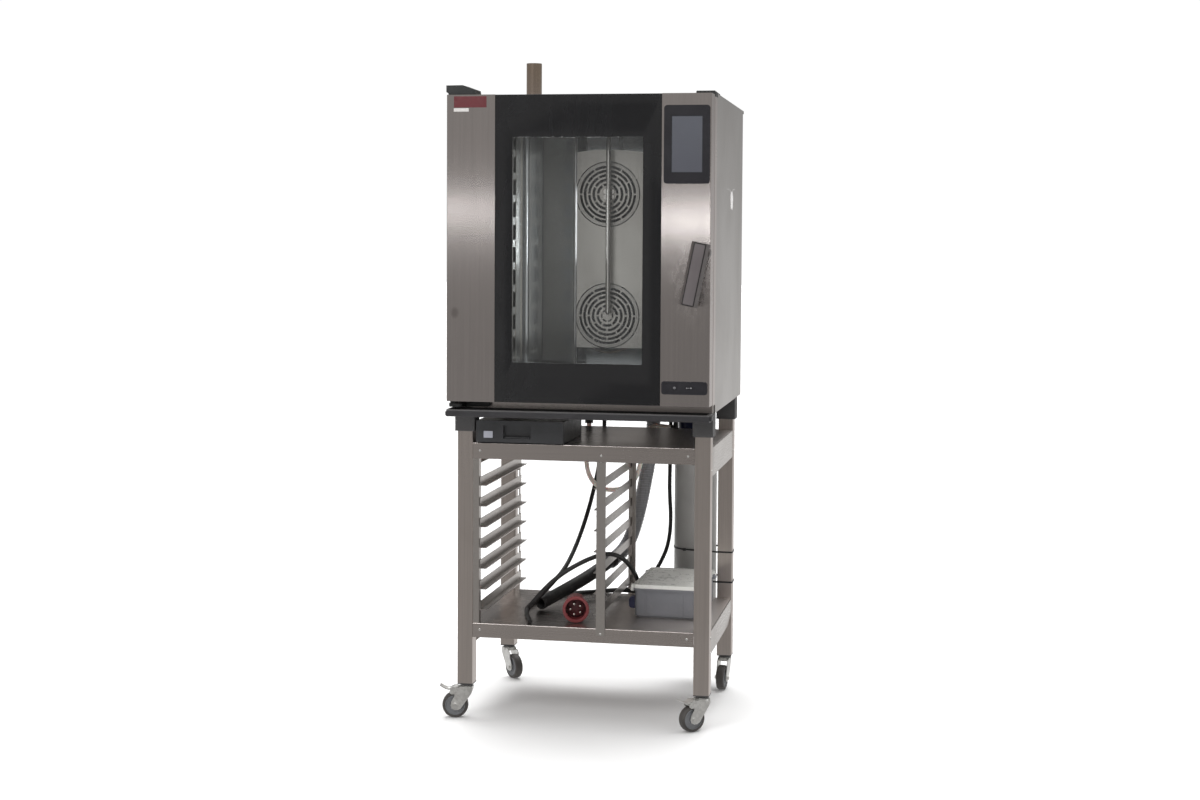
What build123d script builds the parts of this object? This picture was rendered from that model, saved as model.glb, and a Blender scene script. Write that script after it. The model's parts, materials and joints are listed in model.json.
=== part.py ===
from build123d import *
import math
import os

# Ten-level combi steam oven on an open stand with four castors.
# Millimetres, +Z up, floor at z = 0. X runs to the right as seen from the front,
# Y runs from the front to the back. All sizes below are first given in a working
# frame whose y = 0 is the front face of the closed door and whose x = 0 is the
# middle of the oven; every piece is then shifted so that the origin lies under the
# middle of the bounding box, on the floor.

# ------------------------------------------------------------------ driving sizes
AX, AY = -18.035, 349.0         # plan centre of the bounding box in the working frame

OVEN_HALF_W = 375.0              # oven is 750 wide
DOOR_Z0, DOOR_Z1 = 927.5, 1790.0 # door bottom and top
DOOR_T = 62.0                    # door thickness
BODY_Y0, BODY_Y1 = 72.0, 728.0   # casing front and rear
BODY_Z0, BODY_Z1 = 900.0, 1785.0 # casing bottom and top
SHEET = 2.0                      # casing sheet
ROOF_Y, ROOF_Z = 122.0, 1796.0   # front edge of the sloping roof; it falls to BODY_Z1 at the rear
GLASS_X0, GLASS_X1 = -235.0, 236.8
WIN_X, WIN_Z0, WIN_Z1 = 190.0, 1036.0, 1676.0
CAV_X, CAV_Y1, CAV_Z0, CAV_Z1 = 280.0, 520.0, 1007.0, 1703.0
LEVELS, LEVEL_PITCH, LEVEL_Z0 = 10, 67.0, 1024.5
RACK_PLATES = ((100.0, 124.0), (252.0, 331.0), (417.0, 487.0))   # front and rear edges of the rack's upright plates
FAN_X, FAN_Z = 2.0, (1154.0, 1520.0)
HINGE_X, HINGE_Y, HINGE_PIN_R = -361.0, 30.0, 6.0
HANDLE_X, HANDLE_Z = 357.0, 1353.0

PIPE_X, PIPE_Y, PIPE_R, PIPE_W = 244.0, 672.0, 62.5, 66.0   # condensate pipe: axis, radius of its lower end and above it

STAND_X0, STAND_X1 = -362.0, 370.0
STAND_Y0, STAND_Y1 = 74.0, 630.0
LEG = 45.0
LEG_Z0, LEG_Z1 = 104.0, 890.0
UP_Z, UP_LIP = 803.0, 757.0      # upper shelf top and apron bottom
LO_Z, LO_LIP = 281.0, 240.0      # lower shelf top and apron bottom
SHELF_Y1 = 592.0                 # rear edge of both shelves
RUN_Z0, RUN_PITCH, RUN_N = 320.0, 60.0, 7
WHEEL_R, WHEEL_W, TRAIL = 37.5, 24.0, 33.0
PEDAL_X, PEDAL_Z = 31.0, 88.5     # pin of the brake pedal, in the castor's own frame
FIT = 0.05                       # radial clearance of a running fit

parts = {}


def add(name, *shapes):
    """Store one node; each shape is a separate closed solid."""
    out = parts.setdefault(name, [])
    for s in shapes:
        out.extend(s.solids())


def bx(x0, x1, y0, y1, z0, z1):
    return Pos((x0 + x1) / 2, (y0 + y1) / 2, (z0 + z1) / 2) * Box(x1 - x0, y1 - y0, z1 - z0)


def cz(x, y, z, r, h):
    return Pos(x, y, z + h / 2) * Cylinder(r, h)


def cy(x, y, z, r, h):
    return Pos(x, y + h / 2, z) * (Rot(90, 0, 0) * Cylinder(r, h))


def cx(x, y, z, r, h):
    return Pos(x + h / 2, y, z) * (Rot(0, 90, 0) * Cylinder(r, h))


def poly(pts, direction, amount):
    """Prism over a planar polygon given by 3-D points."""
    w = Wire.make_polygon([Vector(*p) for p in pts], close=True)
    return extrude(Face(w), amount=amount, dir=Vector(*direction))


def poly_y(pts, y0, y1):
    return poly([(p[0], y0, p[1]) for p in pts], (0, 1, 0), y1 - y0)


def poly_x(pts, x0, x1):
    return poly([(x0, p[0], p[1]) for p in pts], (1, 0, 0), x1 - x0)


def poly_z(pts, z0, z1):
    return poly([(p[0], p[1], z0) for p in pts], (0, 0, 1), z1 - z0)


def hull(pts):
    """Convex hull of plane points, in order round the outline."""
    pts = sorted(set((round(p[0], 4), round(p[1], 4)) for p in pts))
    out = []
    for seq in (pts, pts[::-1]):
        half = []
        for p in seq:
            while len(half) > 1 and (half[-1][0] - half[-2][0]) * (p[1] - half[-2][1]) - \
                    (half[-1][1] - half[-2][1]) * (p[0] - half[-2][0]) <= 1e-9:
                half.pop()
            half.append(p)
        out += half[:-1]
    return out


def rounded_y(x0, x1, z0, z1, y0, y1, r):
    """Plate in the X-Z plane with rounded corners, between y0 and y1."""
    s = bx(x0, x1, y0, y1, z0, z1)
    return fillet(s.edges().filter_by(Axis.Y), r)


# ------------------------------------------------------------------ stand
legs = {"fl": (STAND_X0, STAND_Y0), "fr": (STAND_X1 - LEG, STAND_Y0),
        "rl": (STAND_X0, STAND_Y1 - LEG), "rr": (STAND_X1 - LEG, STAND_Y1 - LEG)}
mid = {k: (x + LEG / 2, y + LEG / 2) for k, (x, y) in legs.items()}

for k, (x, y) in legs.items():
    tube = bx(x, x + LEG, y, y + LEG, LEG_Z0, LEG_Z1)
    tube = fillet(tube.edges().filter_by(Axis.Z), 2.5)
    tube -= bx(x + 2, x + LEG - 2, y + 2, y + LEG - 2, LEG_Z0 - 1, LEG_Z1 + 1)
    add("stand_legs", tube)

# black corner caps over the leg tops and black plugs in the leg bottoms
for k, (mx, my) in mid.items():
    cap = bx(mx - 29, mx + 29, my - 29, my + 29, 836, BODY_Z0)
    cap = fillet(cap.edges().filter_by(Axis.Z), 3)
    cap -= bx(mx - LEG / 2 - 0.2, mx + LEG / 2 + 0.2, my - LEG / 2 - 0.2, my + LEG / 2 + 0.2, 830, LEG_Z1 + 0.2)
    add("leg_caps_and_plugs", cap)
for k, (mx, my) in mid.items():
    plug = bx(mx - LEG / 2, mx + LEG / 2, my - LEG / 2, my + LEG / 2, LEG_Z0 - 3, LEG_Z0)
    plug = fillet(plug.edges().filter_by(Axis.Z), 2.5)
    plug += bx(mx - 20.4, mx + 20.4, my - 20.4, my + 20.4, LEG_Z0 - 1, LEG_Z0 + 32)
    plug += cz(mx, my, LEG_Z0 - 9, 17, 7)
    plug -= cz(mx, my, LEG_Z0 - 12, 6 + FIT, 40)
    add("leg_caps_and_plugs", plug)


def shelf(top, lip, rear_clear):
    """Folded shelf: deck with front and rear aprons, cut out around the legs."""
    x0, x1, y0, y1 = STAND_X0 + 3, STAND_X1 - 3, STAND_Y0 + 1, SHELF_Y1
    s = bx(x0, x1, y0, y1, lip, top)
    s = fillet(s.edges().filter_by(Axis.X).sort_by(Axis.Z)[-2:], 2)
    s -= bx(x0 - 1, x1 + 1, y0 + 2, y1 - 2, lip - 1, top - 2)
    for (x, y) in legs.values():
        s -= bx(x - 5, x + LEG + 0.3, y - 5, y + LEG + 0.3, lip - 5, top + 5) if y < 300 and x < 0 else \
            bx(x - 0.3, x + LEG + 5, y - 5, y + LEG + 0.3, lip - 5, top + 5) if y < 300 else \
            bx(x - 5, x + LEG + 0.3, y - 0.3, y + LEG + 5, lip - 5, top + 5) if x < 0 else \
            bx(x - 0.3, x + LEG + 5, y - 0.3, y + LEG + 5, lip - 5, top + 5)
    # inward hem along the bottom of both aprons
    s += bx(STAND_X0 + LEG + 0.3, STAND_X1 - LEG - 0.3, y0 + 1, y0 + 16, lip, lip + 2)
    s += bx(STAND_X0 + LEG + 0.3, STAND_X1 - LEG - 0.3, y1 - 16, y1 - 1, lip, lip + 2)
    return s


add("stand_upper_shelf", shelf(UP_Z, UP_LIP, 0))
add("stand_lower_shelf", shelf(LO_Z, LO_LIP, 0))

# deep side rails between the front and rear legs, one pair under each shelf deck
ry0, ry1 = STAND_Y0 + LEG + 0.3, STAND_Y1 - LEG - 0.3
for sgn, xo in ((1, STAND_X1 - 1), (-1, STAND_X0 + 1)):
    # upper rail: straight web with a top and a bottom return
    for (zt, zb, kink) in ((UP_Z - 2.2, 720.0, 0.0), (LO_Z - 2.2, 203.0, 6.0)):
        zm = (zt + zb) / 2 if kink else zb
        pts = [(xo, zt), (xo, zm)]
        if kink:
            pts += [(xo - sgn * kink, zb)]
        xb = pts[-1][0]
        pts += [(xb - sgn * 18, zb), (xb - sgn * 18, zb + 2), (xb - sgn * 2, zb + 2)]
        if kink:
            pts += [(xo - sgn * 2, zm)]
        pts += [(xo - sgn * 2, zt - 2), (xo - sgn * 18, zt - 2), (xo - sgn * 18, zt)]
        add("stand_side_rails", poly([(p[0], ry0, p[1]) for p in pts], (0, 1, 0), ry1 - ry0))


# tray runners of the stand: two racks of seven L-section runners on flat posts
def stand_rack(xw, sgn, xp0, xp1):
    """xw is the web plane, sgn points to the tray, xp0..xp1 is the post width."""
    for i in range(RUN_N):
        z = RUN_Z0 + i * RUN_PITCH
        a, b = sorted((xw, xw + sgn * 2))
        web = bx(a, b, 80, 587.5, z - 2, z + 23)
        a, b = sorted((xw, xw + sgn * 20))
        fl = bx(a, b, 80, 587.5, z - 2, z)
        add("stand_tray_racks", web + fl)


stand_rack(-298.0, 1, -316, -292)
stand_rack(56.0, -1, 45, 71)
# posts: folded strips, screwed to the aprons
pz0, pz1 = LO_Z + 0.5, UP_LIP - 0.5
post = bx(-316.5, -299, 77.5, 79.5, pz0, pz1) + bx(-301, -299, 77.5, 100, pz0, pz1)
add("stand_tray_racks", post - bx(-302.2, -297, 79.8, 101, 0, 0.1))
post = bx(-316.5, -299, 587.8, 589.8, pz0, pz1) + bx(-301, -299, 575, 589.8, pz0, pz1)
for i in range(RUN_N):
    z = RUN_Z0 + i * RUN_PITCH
    post -= bx(-314, -304, 586, 591, z + 12, z + 38)
add("stand_tray_racks", post)
post = bx(58.5, 71, 77.5, 79.5, pz0, pz1) + bx(45, 71, 72.6, 74.6, LO_Z - 20, pz1) + bx(69, 71, 72.6, 79.5, pz0, pz1)
post += bx(58.5, 60.5, 77.5, 96, pz0, pz1)
add("stand_tray_racks", post)
post = bx(46, 69, 587.8, 589.8, pz0, pz1) + bx(58.5, 60.5, 574, 589.8, pz0, pz1)
add("stand_tray_racks", post)

# screws: heads on the front aprons, on the leg sides and on the rack post feet
def head_y(x, y, z, r=3.5):
    return cy(x, y - 1.6, z, r, 1.6)


for (x, z) in ((-296, 780), (58, 775), (306, 780), (-296, 262), (58, 266), (306, 262)):
    add("stand_screws", head_y(x, STAND_Y0 + 1 if x != 58 or z > 500 else 72.6, z))
for zc in (738, 785, 220, 262):
    for yc in (STAND_Y0 + 28, STAND_Y1 - 28):
        add("stand_screws", cx(STAND_X1, yc, zc, 3.5, 1.6))
        add("stand_screws", cx(STAND_X0 - 1.6, yc, zc, 3.5, 1.6))

# ------------------------------------------------------------------ castors
castor_dir = {"fl": 190.5, "fr": 219.0, "rl": 313.5, "rr": 264.0}
full = {"fl": "front_left", "fr": "front_right", "rl": "rear_left", "rr": "rear_right"}
CHEEK_IN, CHEEK_T = 14.5, 2.5


def castor(k, brake):
    """Built with the swivel axis at the origin and the trail along +X."""
    name = full[k]
    outline = [(-17, 93), (-18, 82), (-13, 71), (16, 29), (24, 24.5), (34, 24), (43, 28.5),
               (46, 37), (44, 48), (35, 64), (33, 78), (26, 88), (17, 93)]
    fork = None
    for s in (1, -1):
        y0 = CHEEK_IN if s > 0 else -CHEEK_IN - CHEEK_T
        c = poly([(p[0], y0, p[1]) for p in outline], (0, 1, 0), CHEEK_T)
        fork = c if fork is None else fork + c
    crown = cz(0, 0, 86, 20, 7.0) + bx(-16.5, 18, -CHEEK_IN - 1, CHEEK_IN + 1, 84, 88.5)
    fork += crown
    fork += cz(0, 0, 92, 14, 2.6)
    fork += cz(0, 0, 90, 6, 36)              # stem up into the leg plug
    if brake:
        hood = bx(16, 47, -CHEEK_IN - CHEEK_T, CHEEK_IN + CHEEK_T, 76.5, 78.5)
        for s in (1, -1):
            y0 = CHEEK_IN if s > 0 else -CHEEK_IN - CHEEK_T
            hood += poly([(p[0], y0, p[1]) for p in ((14, 86), (14, 70), (44, 70), (50, 75), (46, 84), (37, 92), (29, 92))], (0, 1, 0), CHEEK_T)
        hood += cy(PEDAL_X, -CHEEK_IN - CHEEK_T - 1.5, PEDAL_Z, 2.5, 2 * (CHEEK_IN + CHEEK_T) + 3)
        fork += hood
    axle = cy(TRAIL, -CHEEK_IN - CHEEK_T - 3, WHEEL_R, 4, 2 * (CHEEK_IN + CHEEK_T) + 6)
    axle += cy(TRAIL, -CHEEK_IN - CHEEK_T - 5, WHEEL_R, 6.5, 5) + cy(TRAIL, CHEEK_IN + CHEEK_T, WHEEL_R, 6.5, 5)
    fork += axle
    wheel = cy(TRAIL, -WHEEL_W / 2, WHEEL_R, WHEEL_R, WHEEL_W)
    wheel = fillet(wheel.edges().filter_by(GeomType.CIRCLE), 6)
    for s in (1, -1):
        rec = Pos(TRAIL, s * (WHEEL_W / 2 - 2.0), WHEEL_R) * (Rot(90, 0, 0) * (Cylinder(28, 4.2) - Cylinder(11, 6)))
        wheel -= rec
    wheel += cy(TRAIL, -CHEEK_IN + 0.4, WHEEL_R, 9, 2 * CHEEK_IN - 0.8)
    wheel -= cy(TRAIL, -40, WHEEL_R, 4 + FIT, 80)
    loc = Pos(mid[k][0], mid[k][1], 0) * Rot(0, 0, castor_dir[k])
    add("castor_fork_" + name, loc * fork)
    add("castor_wheel_" + name, loc * wheel)
    if brake:
        prof = [(25, 91), (33, 92.5), (40, 90.5), (49, 86.8), (56, 86.2), (66, 90.5), (76, 96.5), (77.5, 94.4),
                (67, 88.0), (57, 83.2), (49, 82.6), (40, 84.0), (33, 84.6), (28, 84.6), (25, 86)]
        ped = poly([(p[0], -13, p[1]) for p in prof], (0, 1, 0), 26)
        ped -= cy(PEDAL_X, -20, PEDAL_Z, 2.5 + FIT, 40)
        add("brake_pedal_" + name, loc * ped)


# ------------------------------------------------------------------ casing
def roof_z(y):
    return ROOF_Z + (y - ROOF_Y) * (BODY_Z1 - ROOF_Z) / (BODY_Y1 + 20 - ROOF_Y)


def casing():
    w, t = OVEN_HALF_W, SHEET
    # base pan: open-topped tray with the gland and hose holes at the back
    pan = bx(-w + 3, w - 3, BODY_Y0 + 1, BODY_Y1 - 3, BODY_Z0, BODY_Z0 + 24)
    pan -= bx(-w + 5, w - 5, BODY_Y0 + 3, BODY_Y1 - 5, BODY_Z0 + t, BODY_Z0 + 30)
    add("base_pan", pan)
    # side panels: plate with a front and a rear return
    for s, nm in ((1, "side_panel_right"), (-1, "side_panel_left")):
        a, b = sorted((s * w, s * (w - t)))
        p = poly_x([(BODY_Y0 + 48.5, BODY_Z0), (BODY_Y1, BODY_Z0), (BODY_Y1, roof_z(BODY_Y1) - t - 0.05),
                    (ROOF_Y + t + 0.1, roof_z(ROOF_Y + t) - t - 0.08), (ROOF_Y + t + 0.1, BODY_Z1 - t), (BODY_Y0 + 48.5, BODY_Z1 - t)], a, b)
        c, d = sorted((s * (w - 1), s * (w - 16)))
        p += bx(c, d, BODY_Y1 - 4, BODY_Y1 - 2.2, BODY_Z0 + 25, BODY_Z1 - t)
        p += bx(c, d, BODY_Y0 + 48.5, BODY_Y0 + 50.5, BODY_Z0 + 25, BODY_Z1 - t)
        add(nm, p)
    # top cover: flat front strip, a step up, then a roof falling to the rear drip lip; chimney hole
    yr = BODY_Y1 + 20
    top = poly_x([(BODY_Y0, BODY_Z1 - t), (BODY_Y0, BODY_Z1), (ROOF_Y, BODY_Z1), (ROOF_Y, ROOF_Z), (yr, BODY_Z1), (yr, BODY_Z1 - 9),
                  (yr - 2, BODY_Z1 - 9), (yr - 2, roof_z(yr - 2) - t), (ROOF_Y + t, roof_z(ROOF_Y + t) - t), (ROOF_Y + t, BODY_Z1 - t)], -w, w)
    top -= cz(-218, 408, BODY_Z1 - 10, 23.4, 30)
    add("top_cover", top)
    # rear panel with two banks of louvre slots
    rear = bx(-w + 2.2, w - 2.2, BODY_Y1 - 2, BODY_Y1, BODY_Z0, BODY_Z1 - t)
    for (xa, xb) in ((-300, -120), (120, 300)):
        for i in range(9):
            z = 1180 + i * 44
            rear -= bx(xa, xb, BODY_Y1 - 5, BODY_Y1 + 5, z, z + 10)
    add("rear_panel", rear)
    # front frame: stainless picture frame that carries gasket, hinges and keeper
    fr = bx(-w, w, BODY_Y0, BODY_Y0 + 48, BODY_Z0 + 0.0, BODY_Z1 - t)
    fr = fillet(fr.edges().filter_by(Axis.Z).sort_by(Axis.Y)[:2], 2)
    fr -= bx(-w + 2, w - 2, BODY_Y0 + 3, BODY_Y0 + 60, BODY_Z0 + 2, BODY_Z1 - t - 2)
    fr -= bx(-CAV_X - 2, CAV_X + 2, BODY_Y0 - 5, BODY_Y0 + 60, CAV_Z0 - 2, CAV_Z1 + 2)
    fr -= bx(-w - 1, w + 1, BODY_Y0 + 0.9, BODY_Y0 + 60, BODY_Z0 - 1, BODY_Z0 + 24.2) - bx(-w - 1, w + 1, BODY_Y0 - 1, BODY_Y0 + 1, BODY_Z0 - 1, BODY_Z0 + 25)
    add("front_frame", fr)


def cavity():
    x, z0, z1 = CAV_X, CAV_Z0, CAV_Z1
    y0, y1 = BODY_Y0 + 3.0, CAV_Y1
    outer = bx(-x - 2, x + 2, BODY_Y0 + 0.2, y1 + 2, z0 - 2, z1 + 2)
    inner = bx(-x, x, BODY_Y0 - 10, y1, z0, z1)
    inner = fillet(inner.edges().filter_by(Axis.Z).sort_by(Axis.Y)[-2:], 22)
    liner = outer - inner
    for z in FAN_Z:
        liner -= cy(FAN_X, y1 - 30, z, 12, 60)
        for dx in (-112, 112):
            liner -= cy(FAN_X + dx, y1 - 30, z, 5, 60)
    liner -= cz(-218, 408, z1 - 5, 23.2, 12)
    liner -= cz(9, 418, z1 - 5, 7.7, 12)
    add("cavity_liner", liner)
    # insulation jacket, 38 thick, around the liner
    ins = bx(-x - 40, x + 40, BODY_Y0 + 51, y1 + 40, z0 - 40, z1 + 40)
    ins -= bx(-x - 2, x + 2, BODY_Y0, y1 + 2, z0 - 2, z1 + 2)
    for z in FAN_Z:
        ins -= cy(FAN_X, y1 - 5, z, 14, 60)
        for dx in (-112, 112):
            ins -= cy(FAN_X + dx, y1 - 5, z, 6, 60)
    ins -= cz(-218, 408, z1 - 5, 23.4, 60)
    ins -= cz(9, 418, z1 - 5, 8, 60)
    add("cavity_insulation", ins)
    # tray racks: ten folded runners a side, fixed behind three upright plates that hang on studs in the wall
    for s in (1, -1):
        def side(a, b, ya, yb, za, zb):
            p, q = sorted((s * (x - a), s * (x - b)))
            return bx(p, q, ya, yb, za, zb)
        for i in range(LEVELS):
            z = LEVEL_Z0 + i * LEVEL_PITCH
            run = side(2.5, 4.0, 86, 440, z, z + 22)
            for ya, yb in ((86, RACK_PLATES[0][0]), (RACK_PLATES[0][1], RACK_PLATES[1][0]), (RACK_PLATES[1][1], RACK_PLATES[2][0])):
                run += side(2.5, 24, ya, yb, z, z + 1.5)
                run += side(2.5, 14, ya, yb, z + 20.5, z + 22)
            add("cavity_tray_racks", run)
        for ya, yb in RACK_PLATES:
            up = side(4.0, 5.5, ya, yb, z0 + 4, z1 - 6)
            ym = (ya + yb) / 2
            for z in (LEVEL_Z0 + 34, LEVEL_Z0 + 8 * LEVEL_PITCH + 34):
                up += side(0.1, 4.5, ym - 5, ym + 5, z, z + 10)
            if ya > 400:
                up += side(5.0, 8.6, yb - 1.5, yb, z0 + 4, z1 - 6)
            add("cavity_tray_racks", up)
    # air guard in front of the fans: flat middle with slotted grilles, full-height wings bent back at its sides
    g0, g1 = 1057.0, 1646.0
    guard = poly_z([(-98, 445), (118, 445), (118, 446.6), (-98, 446.6)], g0, g1)
    guard += poly_z([(-215, 512), (-104, 451), (-97, 445), (-92, 445), (-92, 446.6), (-96.4, 446.6), (-103.4, 452.6),
                     (-215, 513.8)], z0 + 1.5, z1 - 1.5)
    guard += poly_z([(112, 445), (117, 445), (124, 451), (235, 512), (235, 513.8), (123.4, 452.6), (116.4, 446.6),
                     (112, 446.6)], z0 + 1.5, z1 - 1.5)
    guard += poly_y([(-97, g1 - 2), (-20, g1 - 2), (-20, g1 + 8), (-60, g1 + 5), (-97, g1)], 445, 446.6)
    guard += poly_y([(117, g1 - 2), (24, g1 - 2), (24, g1 + 8), (64, g1 + 5), (117, g1)], 445, 446.6)
    guard += bx(-20, 24, 445, 446.6, g1 - 2, g1 + 8)
    cutters = []
    for z in FAN_Z:
        rings = [(29.8, 3.9, 0), (43.6, 3.9, 30), (57, 3.9, 0), (70, 3.9, 30), (82.4, 3.9, 0), (97.4, 1.5, 30)]
        if z == min(FAN_Z):
            rings.append((16.5, 2.2, 30))
        else:
            cutters.extend(cy(FAN_X, 440, z, 12.5, 12).solids())
        for ro, hw, ph in rings:
            ring = cy(FAN_X, 440, z, ro + hw, 12) - cy(FAN_X, 438, z, ro - hw, 16)
            for b in range(3):
                bar = Pos(FAN_X, 446, z) * (Rot(0, ph + b * 60, 0) * Box(2 * ro + 40, 20, 4.4))
                ring -= bar
            cutters.extend(ring.solids())
    guard = guard - Compound(children=cutters)
    for z in (g0 + 14, 1337, g1 - 14):
        for xx in (-90, 110):
            guard += cy(xx, 446.0, z, 5, CAV_Y1 - 446.0)
    add("fan_guard", guard)
    # fans: hub, back plate, ten blades and the motor shaft in one piece
    for z, nm in zip(FAN_Z, ("fan_lower", "fan_upper")):
        f = cy(FAN_X, 508, z, 98, 2)
        f += cy(FAN_X, 470, z, 16, 40)
        f += cy(FAN_X, 463, z, 8, 8)
        for b in range(10):
            blade = Pos(FAN_X, 489, z) * (Rot(0, b * 36, 0) * (Pos(70, 0, 0) * (Rot(0, 28, 0) * Box(50, 40, 1.6))))
            f += blade
        f += cy(FAN_X, 505, z, 7, 165)
        add(nm, f)
        mot = cy(FAN_X, 563.5, z, 58, 96) + cy(FAN_X, 659, z, 42, 16)
        mot = fillet(mot.edges().filter_by(GeomType.CIRCLE).sort_by(Axis.Y)[0:1], 2)
        for b in range(12):
            mot += Pos(FAN_X, 611, z) * (Rot(0, b * 30, 0) * (Pos(59, 0, 0) * Box(8, 78, 2.4)))
        mot -= cy(FAN_X, 560, z, 7.5, 112)
        add("fan_motors", mot)
        # heating element: two turns round the fan with two straight tails
        he = Pos(FAN_X, 482, z) * (Rot(90, 0, 0) * Torus(112, 4))
        he += cy(FAN_X + 112, 482, z, 3.4, 84) + cy(FAN_X - 112, 482, z, 3.4, 84)
        he += Pos(FAN_X, 497, z) * (Rot(90, 0, 0) * Torus(112, 4))
        add("ring_heaters", he)
    # water tube that feeds the fan hubs, with its lobed clamp
    tube = cz(9, 418, 1166, 7.5, 570)
    tube += Pos(9, 418, 1166) * Sphere(7.5)
    tube -= cz(9, 418, 1180, 5.5, 600)
    add("water_injector", tube)
    for z in FAN_Z:
        lobes = cy(FAN_X + 5, 427, z, 7, 17.9)
        if z > 1400:
            for a in (45, 135, 225, 315):
                ca, sa = math.cos(math.radians(a)), math.sin(math.radians(a))
                lobes += cy(FAN_X + 5 + 11 * ca, 430, z + 11 * sa, 8, 14.9)
            lobes -= cz(9, 418, z - 40, 7.7, 80)
            add("water_injector", lobes)


# ------------------------------------------------------------------ top fittings
def fittings():
    # chimney pipe from the cavity ceiling
    ch = cz(-218, 408, CAV_Z1, 23, 1910 - CAV_Z1) + cz(-218, 408, roof_z(408) + 0.6, 31, 3.9)
    ch -= cz(-218, 408, CAV_Z1 - 1, 21.5, 300)
    add("chimney", ch)
    # black hinge cover: sloping block over the door pivot and the top bracket
    front = [(-378, 1798), (-378, 1816.5), (-331, 1817), (-295, 1804), (-293, 1791.2), (-368, 1791.2)]
    cov = poly_y(front, 6, 71)
    back = [(-374, 1785.2), (-376, 1816.5), (-352, 1817), (-324, 1806), (-321, 1785.2)]
    cov += poly_y(back, 71, 116)
    cov -= bx(-376.5, -330, 10, 112, 1780, 1797)
    cov -= bx(-372, -340, 10, 112, 1796, 1803)
    add("top_corner_covers", cov)
    rc = poly_x([(74, 1785.2), (74, 1801.5), (168, 1797.4), (168, roof_z(168) + 0.1), (121.8, ROOF_Z + 0.15), (121.8, 1785.2)], 321, 375.5)
    rc &= poly_y([(321, 1785), (321, 1799), (323.5, 1804), (372, 1804), (375.5, 1797), (375.5, 1785)], 70, 170)
    add("top_corner_covers", rc)
    # hinge brackets with their pins
    arm = bx(-374, -334, 14, 108, 1791.4, 1796) + bx(-374, -334, 76, 108, 1785.2, 1792)
    arm += cz(HINGE_X, HINGE_Y, 1762, HINGE_PIN_R, 31)
    add("door_brackets", arm)
    low = bx(-374, -334, 14, 71.9, 910, 920)
    low = fillet(low.edges().filter_by(Axis.Z).sort_by(Axis.Y)[:2], 12)
    low += poly_y([(-374, 908), (-374, 920), (-330, 920), (-300, 925), (-266, 925), (-262, 921), (-262, 912), (-270, 908), (-310, 908), (-330, 906)], 60, 71.9)
    low += cz(HINGE_X, HINGE_Y, 918, HINGE_PIN_R, 37)
    low += cz(HINGE_X, HINGE_Y, 919, 11, 7.5)
    add("door_brackets", low)
    # latch keeper on the front frame, beside the latch finger
    kp = bx(318, 331, 68.6, 71.9, 1322, 1384) + cy(324, 64.5, 1353, 4.5, 6)
    add("door_brackets", kp)
    # silicone gasket round the cavity mouth
    g = rounded_y(-303, 303, 984, 1726, 62.6, 71.9, 24) - rounded_y(-289, 289, 998, 1712, 60, 75, 12)
    add("door_gasket", g)
    # electronics: boards and transformer in the right-hand compartment
    el = bx(324, 326, 190, 520, 1080, 1560) + bx(325, 340, 220, 330, 1120, 1260) + bx(325, 352, 360, 470, 1330, 1480)
    for i in range(6):
        el += bx(325.5, 345, 210 + i * 48, 240 + i * 48, 1290, 1312)
    add("control_electronics", el)


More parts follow.
